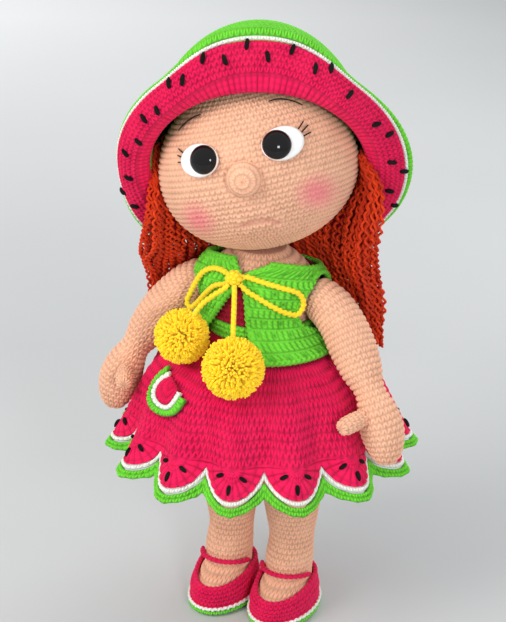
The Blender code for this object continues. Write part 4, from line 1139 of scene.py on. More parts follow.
class DOLL_OT_face(bpy.types.Operator):
    """Lays the felt whites, lashes and brows, and finishes the eyes"""

    bl_idname = "doll.face"
    bl_label = "Eyes, Lashes and Brows"

    def execute(self, context):
        for side, sign in (("left", 1), ("right", -1)):
            data = frame["nodes"][f"eye_washer_{side}"].data
            data.materials.clear()
            data.materials.append(look("washer_plastic"))

            middle = face_place(sign * EYE_SPOT[0], EYE_SPOT[1], 0.0022)
            ahead = face_place(sign * EYE_SPOT[0], EYE_SPOT[1], 0.0032)
            outward = unit(ahead - middle)
            aside_way = unit(np.cross(np.array([0.0, 0.0, 1.0]), outward))
            up_way = np.cross(outward, aside_way)
            slant = np.radians(np.linspace(-88, 88, 33))[:, None]
            around = np.linspace(0, TAU, 64, endpoint=False)
            flat = np.where(slant < 0, 0.0016, EYE_RISE) * np.sin(slant)
            wide = EYE_RADIUS * np.cos(slant)
            dome = (
                middle
                + (wide * np.cos(around))[..., None] * aside_way
                + (wide * np.sin(around))[..., None] * up_way
                + (flat + 0 * around)[..., None] * outward
            )
            shank = bar(
                [middle - outward * far for far in np.linspace(0.0142, 0.0006, 9)],
                0.0019,
                64,
                "shank",
            )
            eye = strands_object(f"eye_{side}_dome", [dome, shank])
            dress_piece(eye, look("eye_gloss"), "head", "eye_plastic", (f"eye_{side}",))

            def felt(u, v):
                turn = TAU * u
                aside = EYE_SPOT[0] * 1000 + (FELT_HALF[0] * np.cos(turn) + FELT_ASIDE) * v
                above = EYE_SPOT[1] * 1000 + FELT_HALF[1] * np.sin(turn) * v
                return face_place(sign * aside / 1000, above / 1000, 0.0012)

            turns = np.linspace(0, 1, 64, endpoint=False)
            shares = np.array([0.12, 0.5, 0.86, 0.97, 1.0])
            u, v = np.meshgrid(turns, shares)
            lift = np.array([0.0, 0.0, 0.0, -0.0002, -0.0009])
            rings = felt(u, v)
            outward = unit(rings - np.array(HEAD_CENTRE))
            rings = rings + outward * (0.0006 + lift)[:, None, None]
            made = grid_object(
                f"eye_felt_{side}",
                rings if sign > 0 else rings[:, ::-1],
                {"relief": np.full(u.shape, 0.9)},
                low_cap=True,
            )
            close_under(made, outward=-0.0012)
            dress_piece(
                made, look("white_felt"), "head", "white_felt", (f"eye_white_{side}",)
            )
        tubes = []
        for line in BROWS + LASHES:
            knots = np.arange(len(line))
            fine = smooth(knots, line, np.linspace(0, len(line) - 1, 12))
            points = face_place(fine[:, 0] / 1000, fine[:, 1] / 1000, 0.0011)
            taper = np.full(12, 1.0)
            taper[[0, -1]] = 0.55
            tubes.append(bar(points, 0.00036, 6, "thread", taper=taper))
        threads = strands_object("brows_and_lashes", tubes)
        dress_piece(threads, look("lash_thread"), "head")
        return {"FINISHED"}


def close_under(made, outward):
    """Gives a patch a second side just below it."""
    solid = made.modifiers.new("thickness", "SOLIDIFY")
    solid.thickness = abs(outward)
    solid.offset = -1.0
    apply_modifiers(made)


def apply_modifiers(made):
    """Replaces a piece's mesh with what its modifiers make of it."""
    graph = bpy.context.evaluated_depsgraph_get()
    final = bpy.data.meshes.new_from_object(made.evaluated_get(graph))
    made.modifiers.clear()
    made.data = final


def arm_surface(side):
    """Surface along an arm from its shoulder to its tip."""
    sign = 1 if side == "left" else -1
    table = np.array(ARM_ROWS)
    middles = np.stack(
        [
            sign * (ARM_ROOT[0] + 0.0003 + table[:, 0] * ARM_REACH[side]),
            ARM_ROOT[1] - table[:, 2] * ARM_LEAN,
            ARM_ROOT[2] - table[:, 1] * ARM_DROP,
        ],
        -1,
    )
    steps = np.linalg.norm(np.diff(middles, axis=0), axis=1)
    along = np.concatenate([[0], np.cumsum(steps)])
    along /= along[-1]
    end_round = 0.96

    def surface(u, v):
        at = np.clip(v, 0, 1)
        core = smooth(along, middles, at)
        ahead = smooth(along, middles, np.clip(at + 0.03, 0, 1))
        behind = smooth(along, middles, np.clip(at - 0.03, 0, 1))
        way = unit(ahead - behind)
        radius = smooth(along, table[:, 3] * ARM_GIRTH, at)[..., 0]
        tip = np.clip((at - end_round) / (1 - end_round), 0, 1)
        radius = radius * np.sqrt(np.clip(1 - 0.8 * tip**2, 0, 1))
        side_way = np.broadcast_to(np.array([0.0, 1.0, 0.0]), way.shape)
        first = unit(side_way - way * (side_way * way).sum(-1, keepdims=True))
        second = np.cross(way, first)
        turn = (TAU * u)[..., None]
        return core + radius[..., None] * (np.cos(turn) * first + np.sin(turn) * second)

    return surface


class DOLL_OT_arms(bpy.types.Operator):
    """Crochets the arms and the thumbs"""

    bl_idname = "doll.arms"
    bl_label = "Arms"

    def execute(self, context):
        size = settings()
        for side in ("left", "right"):
            surface = arm_surface(side)
            rows = 33
            arm = knit(
                f"arm_{side}",
                surface,
                by_girth(surface, rows, size.stitch_width),
                rows,
                depth=size.stitch_depth,
                fine=(6, 5),
                caps=(True, True),
            )
            nodes = (f"arm_{side}_skin", f"arm_{side}_stuffing")
            dress_piece(arm, look("skin_wool"), f"arm_{side}", "skin_yarn", nodes)
            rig.padded(arm, fill=0.9)

            low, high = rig.box(f"thumb_{side}")
            sign = 1 if side == "left" else -1
            middle = np.array((low + high) / 2)
            way = unit(np.array([-0.42 * sign, -0.90, -0.10]))
            start = middle - way * 0.0088
            knots = (0.0, 0.2, 0.55, 0.82, 0.96, 1.0)
            girths = (0.82, 0.96, 1.0, 0.88, 0.55, 0.16)

            def thumb_surface(u, v):
                radius = smooth(knots, girths, v)[..., 0] * 0.0047
                up = np.array([0.0, 0.0, 1.0])
                first = unit(np.cross(way, up))
                second = np.cross(way, first)
                turn = (TAU * u)[..., None]
                ring = np.cos(turn) * first + np.sin(turn) * second
                return start + way * (v[..., None] * 0.0170) + radius[..., None] * ring

            thumb = knit(
                f"thumb_{side}",
                thumb_surface,
                by_girth(thumb_surface, 6, size.stitch_width),
                6,
                depth=size.stitch_depth,
                fine=(6, 5),
                caps=(True, True),
            )
            thumb.name = f"thumb_{side}_knit"
            dress_piece(
                thumb, look("skin_wool"), f"arm_{side}", "skin_yarn", (f"thumb_{side}",)
            )
            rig.padded(thumb, fill=0.9)
        return {"FINISHED"}


class DOLL_OT_body(bpy.types.Operator):
    """Crochets the torso, the neck and the legs, and finishes the rod"""

    bl_idname = "doll.body"
    bl_label = "Torso and Legs"

    def execute(self, context):
        size = settings()
        data = frame["nodes"]["neck_rod"].data
        data.materials.clear()
        data.materials.append(look("rod_beech"))

        def trunk(u, v):
            height = TORSO_BOTTOM + 0.0004 + (TORSO_TOP - TORSO_BOTTOM - 0.0006) * v
            wide, deep = np.moveaxis(torso_half(height), -1, 0)
            turn = TAU * u
            return np.stack([wide * np.cos(turn), deep * np.sin(turn), height], -1)

        rows = round((TORSO_TOP - TORSO_BOTTOM) / size.row_height)
        torso = knit(
            "torso",
            trunk,
            by_girth(trunk, rows, size.stitch_width),
            rows,
            depth=size.stitch_depth * 0.8,
            caps=(True, True),
        )
        nodes = ("torso_skin", "torso_stuffing")
        dress_piece(torso, look("skin_wool"), "torso", "skin_yarn", nodes)
        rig.padded(torso, fill=0.95)
        for side, sign in (("left", 1), ("right", -1)):
            shape = upright(LEG_ROWS, sign * LEG_ASIDE)
            rows = round((LEG_ROWS[-1][0] - LEG_ROWS[0][0]) / size.row_height)
            leg = knit(
                f"leg_{side}",
                shape,
                by_girth(shape, rows, size.stitch_width),
                rows,
                depth=size.stitch_depth,
                caps=(True, True),
            )
            nodes = (f"leg_{side}_skin", f"leg_{side}_stuffing")
            dress_piece(leg, look("skin_wool"), "torso", "skin_yarn", nodes)
            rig.padded(leg, fill=0.95)
        return {"FINISHED"}


WAIST = 0.1685
SKIRT_LENGTH = 0.077
SKIRT_HEM_RADIUS = 0.0835
SCALLOPS = 14
SCALLOP_RISE = 0.0050
SCALLOP_LOW = 0.0052
BAND_SWELL = 1.0
HEM_RUFFLE = 0.0052
SHELL_TOP = 0.1180
RIND_WIDTH = 0.0021
EDGE_WIDTH = 0.0039
BODICE_EASE = 0.0004
SKIRT_FLARE = (
    (0.0, 0.0),
    (0.035, 0.0),
    (0.08, 0.095),
    (0.13, 0.22),
    (0.214, 0.38),
    (0.33, 0.535),
    (0.45, 0.62),
    (0.59, 0.70),
    (0.72, 0.775),
    (0.84, 0.86),
    (1.0, 1.0),
)


def skirt_spot(height, angle, out=CLOTH):
    """The skirt's surface at a height and an angle, with its folds."""
    table = np.array(SKIRT_FLARE)
    wide, deep = torso_half(np.array(WAIST))
    at = (WAIST - height) / SKIRT_LENGTH
    start = wide + BODICE_EASE
    radius = start + smooth(table[:, 0], table[:, 1], at)[..., 0] * (SKIRT_HEM_RADIUS - start)
    radius = radius + HEM_RUFFLE * np.clip(at, 0, 1.2) ** 1.2 * np.cos(SCALLOPS * angle)
    oval = deep / wide + (1 - deep / wide) * np.clip(at * 4, 0, 1)
    return np.stack(
        [
            (radius + out) * np.cos(angle),
            (radius + out) * oval * np.sin(angle),
            height,
        ],
        -1,
    )


def hem_level(angle):
    turn = angle * SCALLOPS / TAU
    across = np.abs(turn - np.round(turn)) * 2
    bow = 0.45 * across**2 + 0.55 * across**5
    return WAIST - SKIRT_LENGTH + SCALLOP_LOW + SCALLOP_RISE * bow


def hem_line(angle, share):
    """Height of a line above the hem by its share of the edge's width."""
    turn = angle * SCALLOPS / TAU
    across = np.abs(turn - np.round(turn)) * 2
    return hem_level(angle) + share * (1 + BAND_SWELL * across**3)


def shell_polar(angle, height):
    """Distance and direction from the middle of a scallop's shell of stitches."""
    turn = angle * SCALLOPS / TAU
    aside = (turn - np.round(turn)) * TAU / SCALLOPS * 0.078
    down = SHELL_TOP - height
    return np.hypot(aside, down), np.arctan2(aside, down)


class DOLL_OT_dress(bpy.types.Operator):
    """Crochets the bodice, the waistband, the skirt and its scalloped rounds"""

    bl_idname = "doll.dress"
    bl_label = "Dress"

    def execute(self, context):
        size = settings()
        for name, low, high, material, slot, stitch, rows in (
            ("bodice", WAIST + 0.0091, 0.2035, "crimson_wool", "crimson_yarn", single_stitch, 9),
            ("waistband", WAIST, WAIST + 0.0088, "green_wool", "green_yarn", single_stitch, 3),
        ):

            def belt(u, v, low=low, high=high):
                height = low + (high - low) * v
                half = torso_half(height) + BODICE_EASE + CLOTH
                turn = TAU * u
                return np.stack(
                    [half[..., 0] * np.cos(turn), half[..., 1] * np.sin(turn), height], -1
                )

            made = knit(
                f"{name}_knit",
                belt,
                by_girth(belt, rows, size.stitch_width),
                rows,
                stitch,
                depth=size.stitch_depth,
                thick=CLOTH,
                hole=armhole if name == "bodice" else None,
            )
            dress_piece(made, look(material), "torso", slot, (name,))

        shell_share = 0.27

        def cloth(u, v):
            angle = TAU * u
            edge = hem_line(angle, EDGE_WIDTH + RIND_WIDTH + 0.0009)
            low = edge + (SHELL_TOP - edge) * np.clip(v / shell_share, 0, 1)
            above = SHELL_TOP + (WAIST - 0.0002 - SHELL_TOP) * np.clip(
                (v - shell_share) / (1 - shell_share), 0, 1
            )
            return skirt_spot(np.where(v < shell_share, low, above), angle)

        def stitches(u, v, points, height):
            angle = TAU * u
            level = points[..., 2]
            far, way = shell_polar(angle, level)
            spokes = np.mod(way / math.radians(15.5) + 0.5, 1.0)
            rounds = np.mod(far / 0.0066, 1.0)
            shell = rib_stitch(spokes, rounds) * np.clip(far / 0.004, 0.25, 1)
            tall = 0.0042
            row = np.floor((level - SHELL_TOP) / tall)
            up = (level - SHELL_TOP) / tall - row
            across = np.mod(u * 144 + 0.5 * row, 1.0)
            plain = single_stitch(across, up)
            blend = np.clip((level - SHELL_TOP) / 0.0016 + 0.5, 0, 1)
            relief = shell * (1 - blend) + plain * blend
            return size.stitch_depth * 1.2 * (relief - 0.55), {"relief": relief}

        skirt = knit(
            "skirt_knit",
            cloth,
            140,
            17,
            lambda a, b: np.full_like(a, 0.55),
            fine=(6, 7),
            thick=CLOTH,
            extra=stitches,
        )
        dress_piece(skirt, look("pink_wool"), "torso", "pink_yarn", ("skirt",))
        around = TAU * (SKIRT_HEM_RADIUS + CLOTH)
        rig.sheet(skirt, flat=(around, SKIRT_LENGTH), held="gathered", area=around * SKIRT_LENGTH * 0.7)

        for name, low, wide, rows, material, slot, node in (
            ("hem_white", EDGE_WIDTH + 0.0006, RIND_WIDTH, 1, "white_wool", "white_yarn", "hem_rind"),
            ("hem_green", 0.0, EDGE_WIDTH, 2, "green_wool", "green_yarn", "hem_edge"),
        ):

            def band(u, v, low=low, wide=wide, rows=rows):
                angle = TAU * u
                level = hem_line(angle, low + wide * v)
                wave = 0.0003 * np.sin(TAU * u * SCALLOPS * 5) * (1 - v) * (rows - 1)
                return skirt_spot(level, angle) + wave[..., None] * np.stack(
                    [np.cos(angle), np.sin(angle), 0 * angle], -1
                )

            made = knit(
                name,
                band,
                SCALLOPS * 14,
                rows,
                depth=size.stitch_depth * 1.3,
                fine=(6, 5),
                thick=CLOTH,
            )
            dress_piece(made, look(material), "torso", slot, (node,))

        tubes = []
        for k in range(SCALLOPS):
            middle = TAU * k / SCALLOPS
            for far, way in ((0.0080, -60), (0.0094, -4), (0.0080, 52)):
                line = []
                for step in np.linspace(-1, 1, 7):
                    distance = far + step * 0.0024
                    aside = distance * math.sin(math.radians(way))
                    level = SHELL_TOP - distance * math.cos(math.radians(way))
                    line.append(skirt_spot(np.array(level), middle + aside / 0.078, CLOTH + 0.0009))
                taper = (0.45, 0.85, 1.0, 1.0, 0.95, 0.75, 0.35)
                tubes.append(bar(line, 0.0012, 8, "seed", taper=taper))
        seeds = strands_object("skirt_seeds", tubes)
        dress_piece(seeds, look("seed_thread"), "torso")
        return {"FINISHED"}


def rope(name, points, radius, pitch=0.0026, sides=10, closed=False, ply=0.2):
    """A twisted or chained cord along points, as one mesh; gives its centreline too."""
    points = np.asarray(points, float)
    if closed:
        points = np.vstack([points, points[:1]])
    steps = np.linalg.norm(np.diff(points, axis=0), axis=1)
    along = np.concatenate([[0], np.cumsum(steps)])
    count = max(int(along[-1] / (pitch / 6)), 8)
    at = np.linspace(0, along[-1], count + 1)
    core = np.stack([np.interp(at, along, points[:, k]) for k in range(3)], -1)
    if closed:
        core = core[:-1]
        smoothed = core.copy()
        for _ in range(2):
            smoothed = (np.roll(smoothed, 1, 0) + 2 * smoothed + np.roll(smoothed, -1, 0)) / 4
        core = smoothed
        way = unit(np.roll(core, -1, 0) - np.roll(core, 1, 0))
    else:
        core[1:-1] = (core[:-2] + 2 * core[1:-1] + core[2:]) / 4
        way = unit(np.gradient(core, axis=0))
    side = np.array([0.0, 0.0, 1.0]) if abs(way[0, 2]) < 0.8 else np.array([1.0, 0.0, 0.0])
    sides_axes = []
    for w in way:
        side = unit(side - w * (side @ w))
        sides_axes.append(side)
    first = np.array(sides_axes)
    second = np.cross(way, first)
    turn = np.arange(sides) / sides * TAU
    phase = TAU * at[: len(core), None] / pitch
    wave = np.cos(2 * turn + phase)
    bead = np.cos(phase * 1.0 + 0 * turn)
    height = 0.5 + 0.32 * wave + 0.18 * bead
    reach = radius * (1 + ply * (height - 0.7))
    ring = first[:, None] * np.cos(turn)[:, None] + second[:, None] * np.sin(turn)[:, None]
    grid = core[:, None] + ring * reach[..., None]
    if closed:
        grid, height = np.vstack([grid, grid[:1]]), np.vstack([height, height[:1]])
        made = grid_object(name, grid, {"relief": height})
        weld(made)
    else:
        made = grid_object(name, grid, {"relief": height}, low_cap=True, high_cap=True)
    return made, core


POCKET_RADIUS = 0.0145
POCKET_DROP = 0.025
POCKET_MIDDLE = math.radians(-119)
POCKET_CUT = 0.0050
POCKET_SPIN = math.radians(-20)


def pocket_spot(aside, above, out):
    """A point over the skirt by its place on the pocket."""
    centre = WAIST - POCKET_DROP
    step = POCKET_RADIUS / 2
    ends = skirt_spot(np.array([centre - step, centre + step]), POCKET_MIDDLE)
    rise = ends[1] - ends[0]
    level = rise[2] / np.linalg.norm(rise)
    across = aside * math.cos(POCKET_SPIN) - above * math.sin(POCKET_SPIN)
    along = aside * math.sin(POCKET_SPIN) + above * math.cos(POCKET_SPIN)
    height = centre + along * level
    middle = skirt_spot(height, np.full_like(height, POCKET_MIDDLE))
    radius = np.hypot(middle[..., 0], middle[..., 1])
    angle = POCKET_MIDDLE + across / radius
    point = skirt_spot(height, angle)
    side_way = skirt_spot(height, angle + 0.01) - point
    up_way = skirt_spot(height + 0.001, angle) - point
    return point + unit(np.cross(side_way, up_way)) * out[..., None]


class DOLL_OT_pocket(bpy.types.Operator):
    """Crochets the slice-shaped pocket on the skirt"""

    bl_idname = "doll.pocket"
    bl_label = "Pocket"

    def execute(self, context):
        size = settings()
        rings = (
            ("pocket_pink", 0.0, 0.0074, "pink_wool", "pink_yarn", 3, 14),
            ("pocket_white", 0.0076, 0.0104, "white_wool", "white_yarn", 1, 15),
            ("pocket_green", 0.0106, 0.0146, "green_wool", "green_yarn", 1, 18),
        )
        for name, low, high, material, slot, rows, count in rings:

            def slice_cloth(u, v, low=low, high=high):
                cut = math.asin(POCKET_CUT / ((low or high) / 2 + high / 2))
                turn = math.pi - cut + (math.pi + 2 * cut) * u
                far = high + (low - high) * v
                aside, above = far * np.cos(turn), far * np.sin(turn)
                if low == 0.0:
                    above = above + POCKET_CUT * v
                far = np.hypot(aside, above)
                dome = np.clip(1 - far / POCKET_RADIUS, 0, 1)
                return pocket_spot(aside, above, 0.0036 + 0.0020 * dome)

            made = knit(
                name,
                slice_cloth,
                count,
                rows,
                depth=size.stitch_depth,
                fine=(6, 6),
                around=False,
                thick=0.0022,
            )
            dress_piece(
                made, look(material), "torso", slot, ("pocket",) if low == 0.0 else ()
            )
        return {"FINISHED"}


VEST_LOW = 0.1625
VEST_HIGH = 0.2125
VEST_EDGES = (
    (0.0, -48, 27),
    (0.16, -42, 17),
    (0.34, -33, 10),
    (0.56, -17, 7),
    (0.72, -7, 4),
    (0.86, -3, 3),
    (1.0, -17, 34),
)


def vest_spot(share, angle, out):
    """The bolero by its height share and its angle from the front to the left."""
    nape = 0.012 * (1 - np.cos(angle)) / 2
    height = VEST_LOW + share * (VEST_HIGH - VEST_LOW - nape)
    half = torso_half(height) + BODICE_EASE + CLOTH + 0.0007
    hem = 0.0085 * np.clip(1 - share / 0.34, 0, 1)
    shoulder = 0.0045 * np.clip(1 - np.abs(share - 0.78) / 0.30, 0, 1)
    slope = np.abs(np.gradient(torso_half(np.linspace(0.16, 0.2144, 60)), 54.4e-3 / 59, axis=0))
    steep = np.stack(
        [np.interp(height, np.linspace(0.16, 0.2144, 60), slope[:, k]) for k in (0, 1)], -1
    )
    more = (np.hypot(1, np.clip(steep, 0, 1.8)) - 1) * 0.0035
    half_x = half[..., 0] + hem + shoulder + more[..., 0] + out
    half_y = half[..., 1] + hem + more[..., 1] + out
    return np.stack([half_x * np.sin(angle), -half_y * np.cos(angle), height], -1)


class DOLL_OT_vest(bpy.types.Operator):
    """Crochets the bolero, with its lace holes and its edging"""

    bl_idname = "doll.vest"
    bl_label = "Bolero"

    def execute(self, context):
        size = settings()
        edges = np.array(VEST_EDGES, float)

        def span(share):
            right, left = np.moveaxis(smooth(edges[:, 0], edges[:, 1:], share), -1, 0)
            return np.radians(left), np.radians(360 - left + right)

        def cloth(u, v):
            start, sweep = span(v)
            return vest_spot(v, start + sweep * u, CLOTH)

        def lace(u, v, points, height):
            rows, count = 9, 62
            row = np.clip(np.floor(v * rows), 0, rows - 1)
            up = v * rows - row
            across = np.mod(u * count + 0.5 * row, 1.0)
            wide = np.mod(u * count / 3 + 0.5 * np.mod(row, 2), 1.0)
            hole = np.exp(-(((wide - 0.5) / 0.085) ** 2) - (((up - 0.42) / 0.26) ** 2))
            hole = hole * (np.mod(row, 3) != 1)
            # Painted shade: the lace holes get almost no relief, so the yarn paints them dark, besides their dent.
            relief = post_stitch(across, up) * (1 - 0.95 * hole)
            lift = size.stitch_depth * 1.15 * (relief - 0.55) - 0.0011 * hole
            return lift, {"relief": relief}

        vest = knit(
            "bolero",
            cloth,
            62,
            9,
            lambda a, b: np.full_like(a, 0.55),
            fine=(7, 9),
            around=False,
            thick=CLOTH,
            extra=lace,
            hole=armhole,
        )
        dress_piece(vest, look("green_wool"), "torso", "green_yarn", ("vest",))
        u, v = np.meshgrid(np.linspace(0, 1, 90), np.linspace(0, 1, 40))
        grid = cloth(u, v)
        across, along = grid[1:, 1:] - grid[1:, :-1], grid[1:, 1:] - grid[:-1, 1:]
        wide = np.linalg.norm(across, axis=-1).sum(1).max()
        tall = np.linalg.norm(along, axis=-1).sum(0).max()
        area = np.linalg.norm(np.cross(across, along), axis=-1).sum()
        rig.sheet(
            vest,
            flat=(float(wide), float(tall)),
            held="draped",
            rests_on=["bodice_knit"],
            area=float(area),
        )

        shares = np.linspace(0, 1, 40)
        start, sweep = span(shares)
        middle = 0.5 * CLOTH
        left = vest_spot(shares, start, middle)
        right = vest_spot(shares, start + sweep, middle)
        turns = np.linspace(0, 1, 90)
        low_start, low_sweep = span(np.zeros(90))
        low = vest_spot(np.zeros(90), low_start + low_sweep * turns, middle)
        high_start, high_sweep = span(np.ones(90))
        high = vest_spot(np.ones(90), high_start + high_sweep * turns, middle)
        border = np.vstack([left, high[1:], right[::-1][1:], low[::-1][1:-1]])
        trims = [rope("bolero_border", border, 0.0016, 0.0030, closed=True, ply=0.45)[0]]
        for side, sign in (("left", 1), ("right", -1)):
            ring = np.linspace(0, TAU, 60, endpoint=False)
            y, z = -0.001 + 0.0158 * np.cos(ring), 0.1884 + 0.0158 * np.sin(ring)
            share = (z - VEST_LOW) / (VEST_HIGH - VEST_LOW - 0.006)
            flat = vest_spot(share, np.full(60, sign * math.pi / 2), middle)
            half_y = np.abs(vest_spot(share, np.zeros(60), middle)[:, 1])
            x = np.abs(flat[:, 0]) * np.sqrt(np.clip(1 - (y / half_y) ** 2, 0.05, 1))
            trims.append(
                rope(
                    f"armhole_edge_{side}",
                    np.stack([sign * x, y, z], -1),
                    0.0015,
                    0.0030,
                    closed=True,
                    ply=0.45,
                )[0]
            )
        for trim in trims:
            dress_piece(trim, look("green_wool"), "torso", "green_yarn")
        return {"FINISHED"}


KNOT = np.array([-0.0023, -0.0302, 0.2059])
KNOT_RADIUS = 0.0042
SEAM = 0.0003
CORD_ROUTES = {
    "bow_loop_left": (
        (0.0033, -0.0271, 0.2062),
        (0.0089, -0.0271, 0.2055),
        (0.0139, -0.0264, 0.2044),
        (0.0189, -0.0253, 0.2032),
        (0.0235, -0.0234, 0.2017),
        (0.0275, -0.0215, 0.2005),
        (0.0304, -0.0194, 0.1984),
        (0.0319, -0.0179, 0.1948),
        (0.0315, -0.0175, 0.1900),
        (0.0294, -0.0190, 0.1866),
        (0.0256, -0.0228, 0.1878),
        (0.0187, -0.0270, 0.1920),
        (0.0109, -0.0291, 0.1965),
        (0.0040, -0.0297, 0.2001),
    ),
    "bow_loop_right": (
        (-0.0105, -0.0267, 0.2074),
        (-0.0182, -0.0240, 0.2065),
        (-0.0240, -0.0229, 0.2029),
        (-0.0284, -0.0222, 0.1966),
        (-0.0319, -0.0221, 0.1896),
        (-0.0336, -0.0232, 0.1843),
        (-0.0308, -0.0253, 0.1822),
        (-0.0265, -0.0260, 0.1858),
        (-0.0215, -0.0262, 0.1919),
        (-0.0140, -0.0280, 0.1990),
        (-0.0080, -0.0290, 0.2012),
    ),
    "cord_tail_right": (
        (-0.0052, -0.0341, 0.2016),
        (-0.0105, -0.0366, 0.1975),
        (-0.0165, -0.0388, 0.1920),
    ),
    "cord_tail_left": (
        (-0.0002, -0.0341, 0.2012),
        (0.0010, -0.0368, 0.1968),
        (0.0026, -0.0406, 0.1916),
        (0.0042, -0.0446, 0.1864),
    ),
}
POMPOMS = {
    "right": ((-0.0274, -0.0418, 0.1727), 0.0144),
    "left": ((0.0101, -0.0577, 0.1681), 0.016),
}


def rounded(points, steps=6):
    """A smooth line through points."""
    points = np.asarray(points, float)
    lengths = np.linalg.norm(np.diff(points, axis=0), axis=1)
    knots = np.concatenate([[0], np.cumsum(lengths)])
    at = np.linspace(0, knots[-1], (len(points) - 1) * steps + 1)
    return smooth(knots, points, at)


def line_length(points):
    return float(np.linalg.norm(np.diff(points, axis=0), axis=1).sum())


class DOLL_OT_tie(bpy.types.Operator):
    """Makes the tie cord's knot, loops and tails, and the pompoms"""

    bl_idname = "doll.tie"
    bl_label = "Tie Cord and Pompoms"

    def execute(self, context):
        size = settings()
        rng = np.random.default_rng(11)
        pompoms = {}
        for side, (centre, radius) in POMPOMS.items():
            count = 1600
            k = np.arange(count) + 0.5
            z = 1 - 2 * k / count
            turn = k * math.pi * (1 + math.sqrt(5))
            ways = np.stack(
                [np.sqrt(1 - z * z) * np.cos(turn), np.sqrt(1 - z * z) * np.sin(turn), z], -1
            )
            ways = unit(ways + rng.normal(0, 0.07, ways.shape))
            reach = radius * rng.uniform(0.92, 1.06, count)
            lean = rng.normal(0, 0.09, ways.shape)
            tubes, reliefs = [], []
            for way, far, off in zip(ways, reach, lean):
                at = np.array([0.45, 0.7, 0.86, 0.95, 1.0])[:, None] * far
                line = np.array(centre) + unit(way + off * (at / radius) ** 2) * at
                tubes.append(bar(line, 0.00064, 5, "tuft", taper=(0.7, 0.85, 1.0, 1.1, 0.6)))
                # Painted shade: the relief falls towards the pompom's middle, so the tufts are painted darker deep
                # inside the ball.
                reliefs.append(np.array([0.3, 0.45, 0.7, 0.95, 1.0])[:, None] * np.ones(5))
            made = strands_object(f"pompom_{side}_tufts", tubes, reliefs)
            body = f"tail_{side}"
            dress_piece(
                made, look("yellow_wool"), body, "yellow_yarn", (f"pompom_{side}",)
            )
            pompoms[side] = made

        def knot_surface(u, v):
            latitude = (v - 0.5) * math.radians(170)
            turn = TAU * u
            ball = np.stack(
                [
                    np.cos(latitude) * np.cos(turn) * 1.05,
                    np.sin(latitude),
                    np.cos(latitude) * np.sin(turn) * 0.95,
                ],
                -1,
            )
            return KNOT + ball * KNOT_RADIUS

        knot = knit(
            "tie_knot",
            knot_surface,
            by_girth(knot_surface, 4, 0.0030),
            4,
            rib_stitch,
            depth=0.0009,
            fine=(7, 6),
            caps=(True, True),
            lean=0.45,
            flip=True,
        )
        dress_piece(knot, look("yellow_wool"), "torso", "yellow_yarn", ("bow_knot",))

        room = KNOT_RADIUS + SEAM
        for name, route in CORD_ROUTES.items():
            route = np.array(route)
            first = KNOT + unit(route[0] - KNOT) * room
            side = name.split("_")[-1]
            if name.startswith("bow"):
                last, body, far_end, pieces = (
                    KNOT + unit(route[-1] - KNOT) * room, "torso", "object", (),
                )
            else:
                centre, radius = POMPOMS[side]
                last = np.array(centre) + unit(route[-1] - centre) * radius * 0.3
                body, far_end, pieces = f"tail_{side}", "fitting", (pompoms[side],)
            points = rounded(np.vstack([first, route, last]))
            cord, core = rope(f"{name}_cord", points, size.cord_radius, 0.0028, ply=0.42)
            dress_piece(cord, look("yellow_wool"), body, "yellow_yarn", (name,))
            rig.cord(
                cord,
                exit=first,
                length=line_length(core),
                diameter=2 * size.cord_radius,
                far_end=far_end,
                stiffness="limp",
                lay="hanging" if pieces else "loose",
                path=core,
                with_pieces=pieces,
            )
        return {"FINISHED"}


SHOE_FORWARD = 0.0095
SHOE_HALF = (0.0181, 0.0275)
SOLE = 0.0038
SHOE_DIP = 0.0052
SHOE_ROWS = (
    (0.0041, 0.0181, 0.0275, 0.0095),
    (0.0071, 0.0175, 0.0267, 0.0095),
    (0.0119, 0.0177, 0.0262, 0.0091),
    (0.0163, 0.0166, 0.0236, 0.0076),
    (0.0199, 0.0158, 0.0198, 0.0052),
)


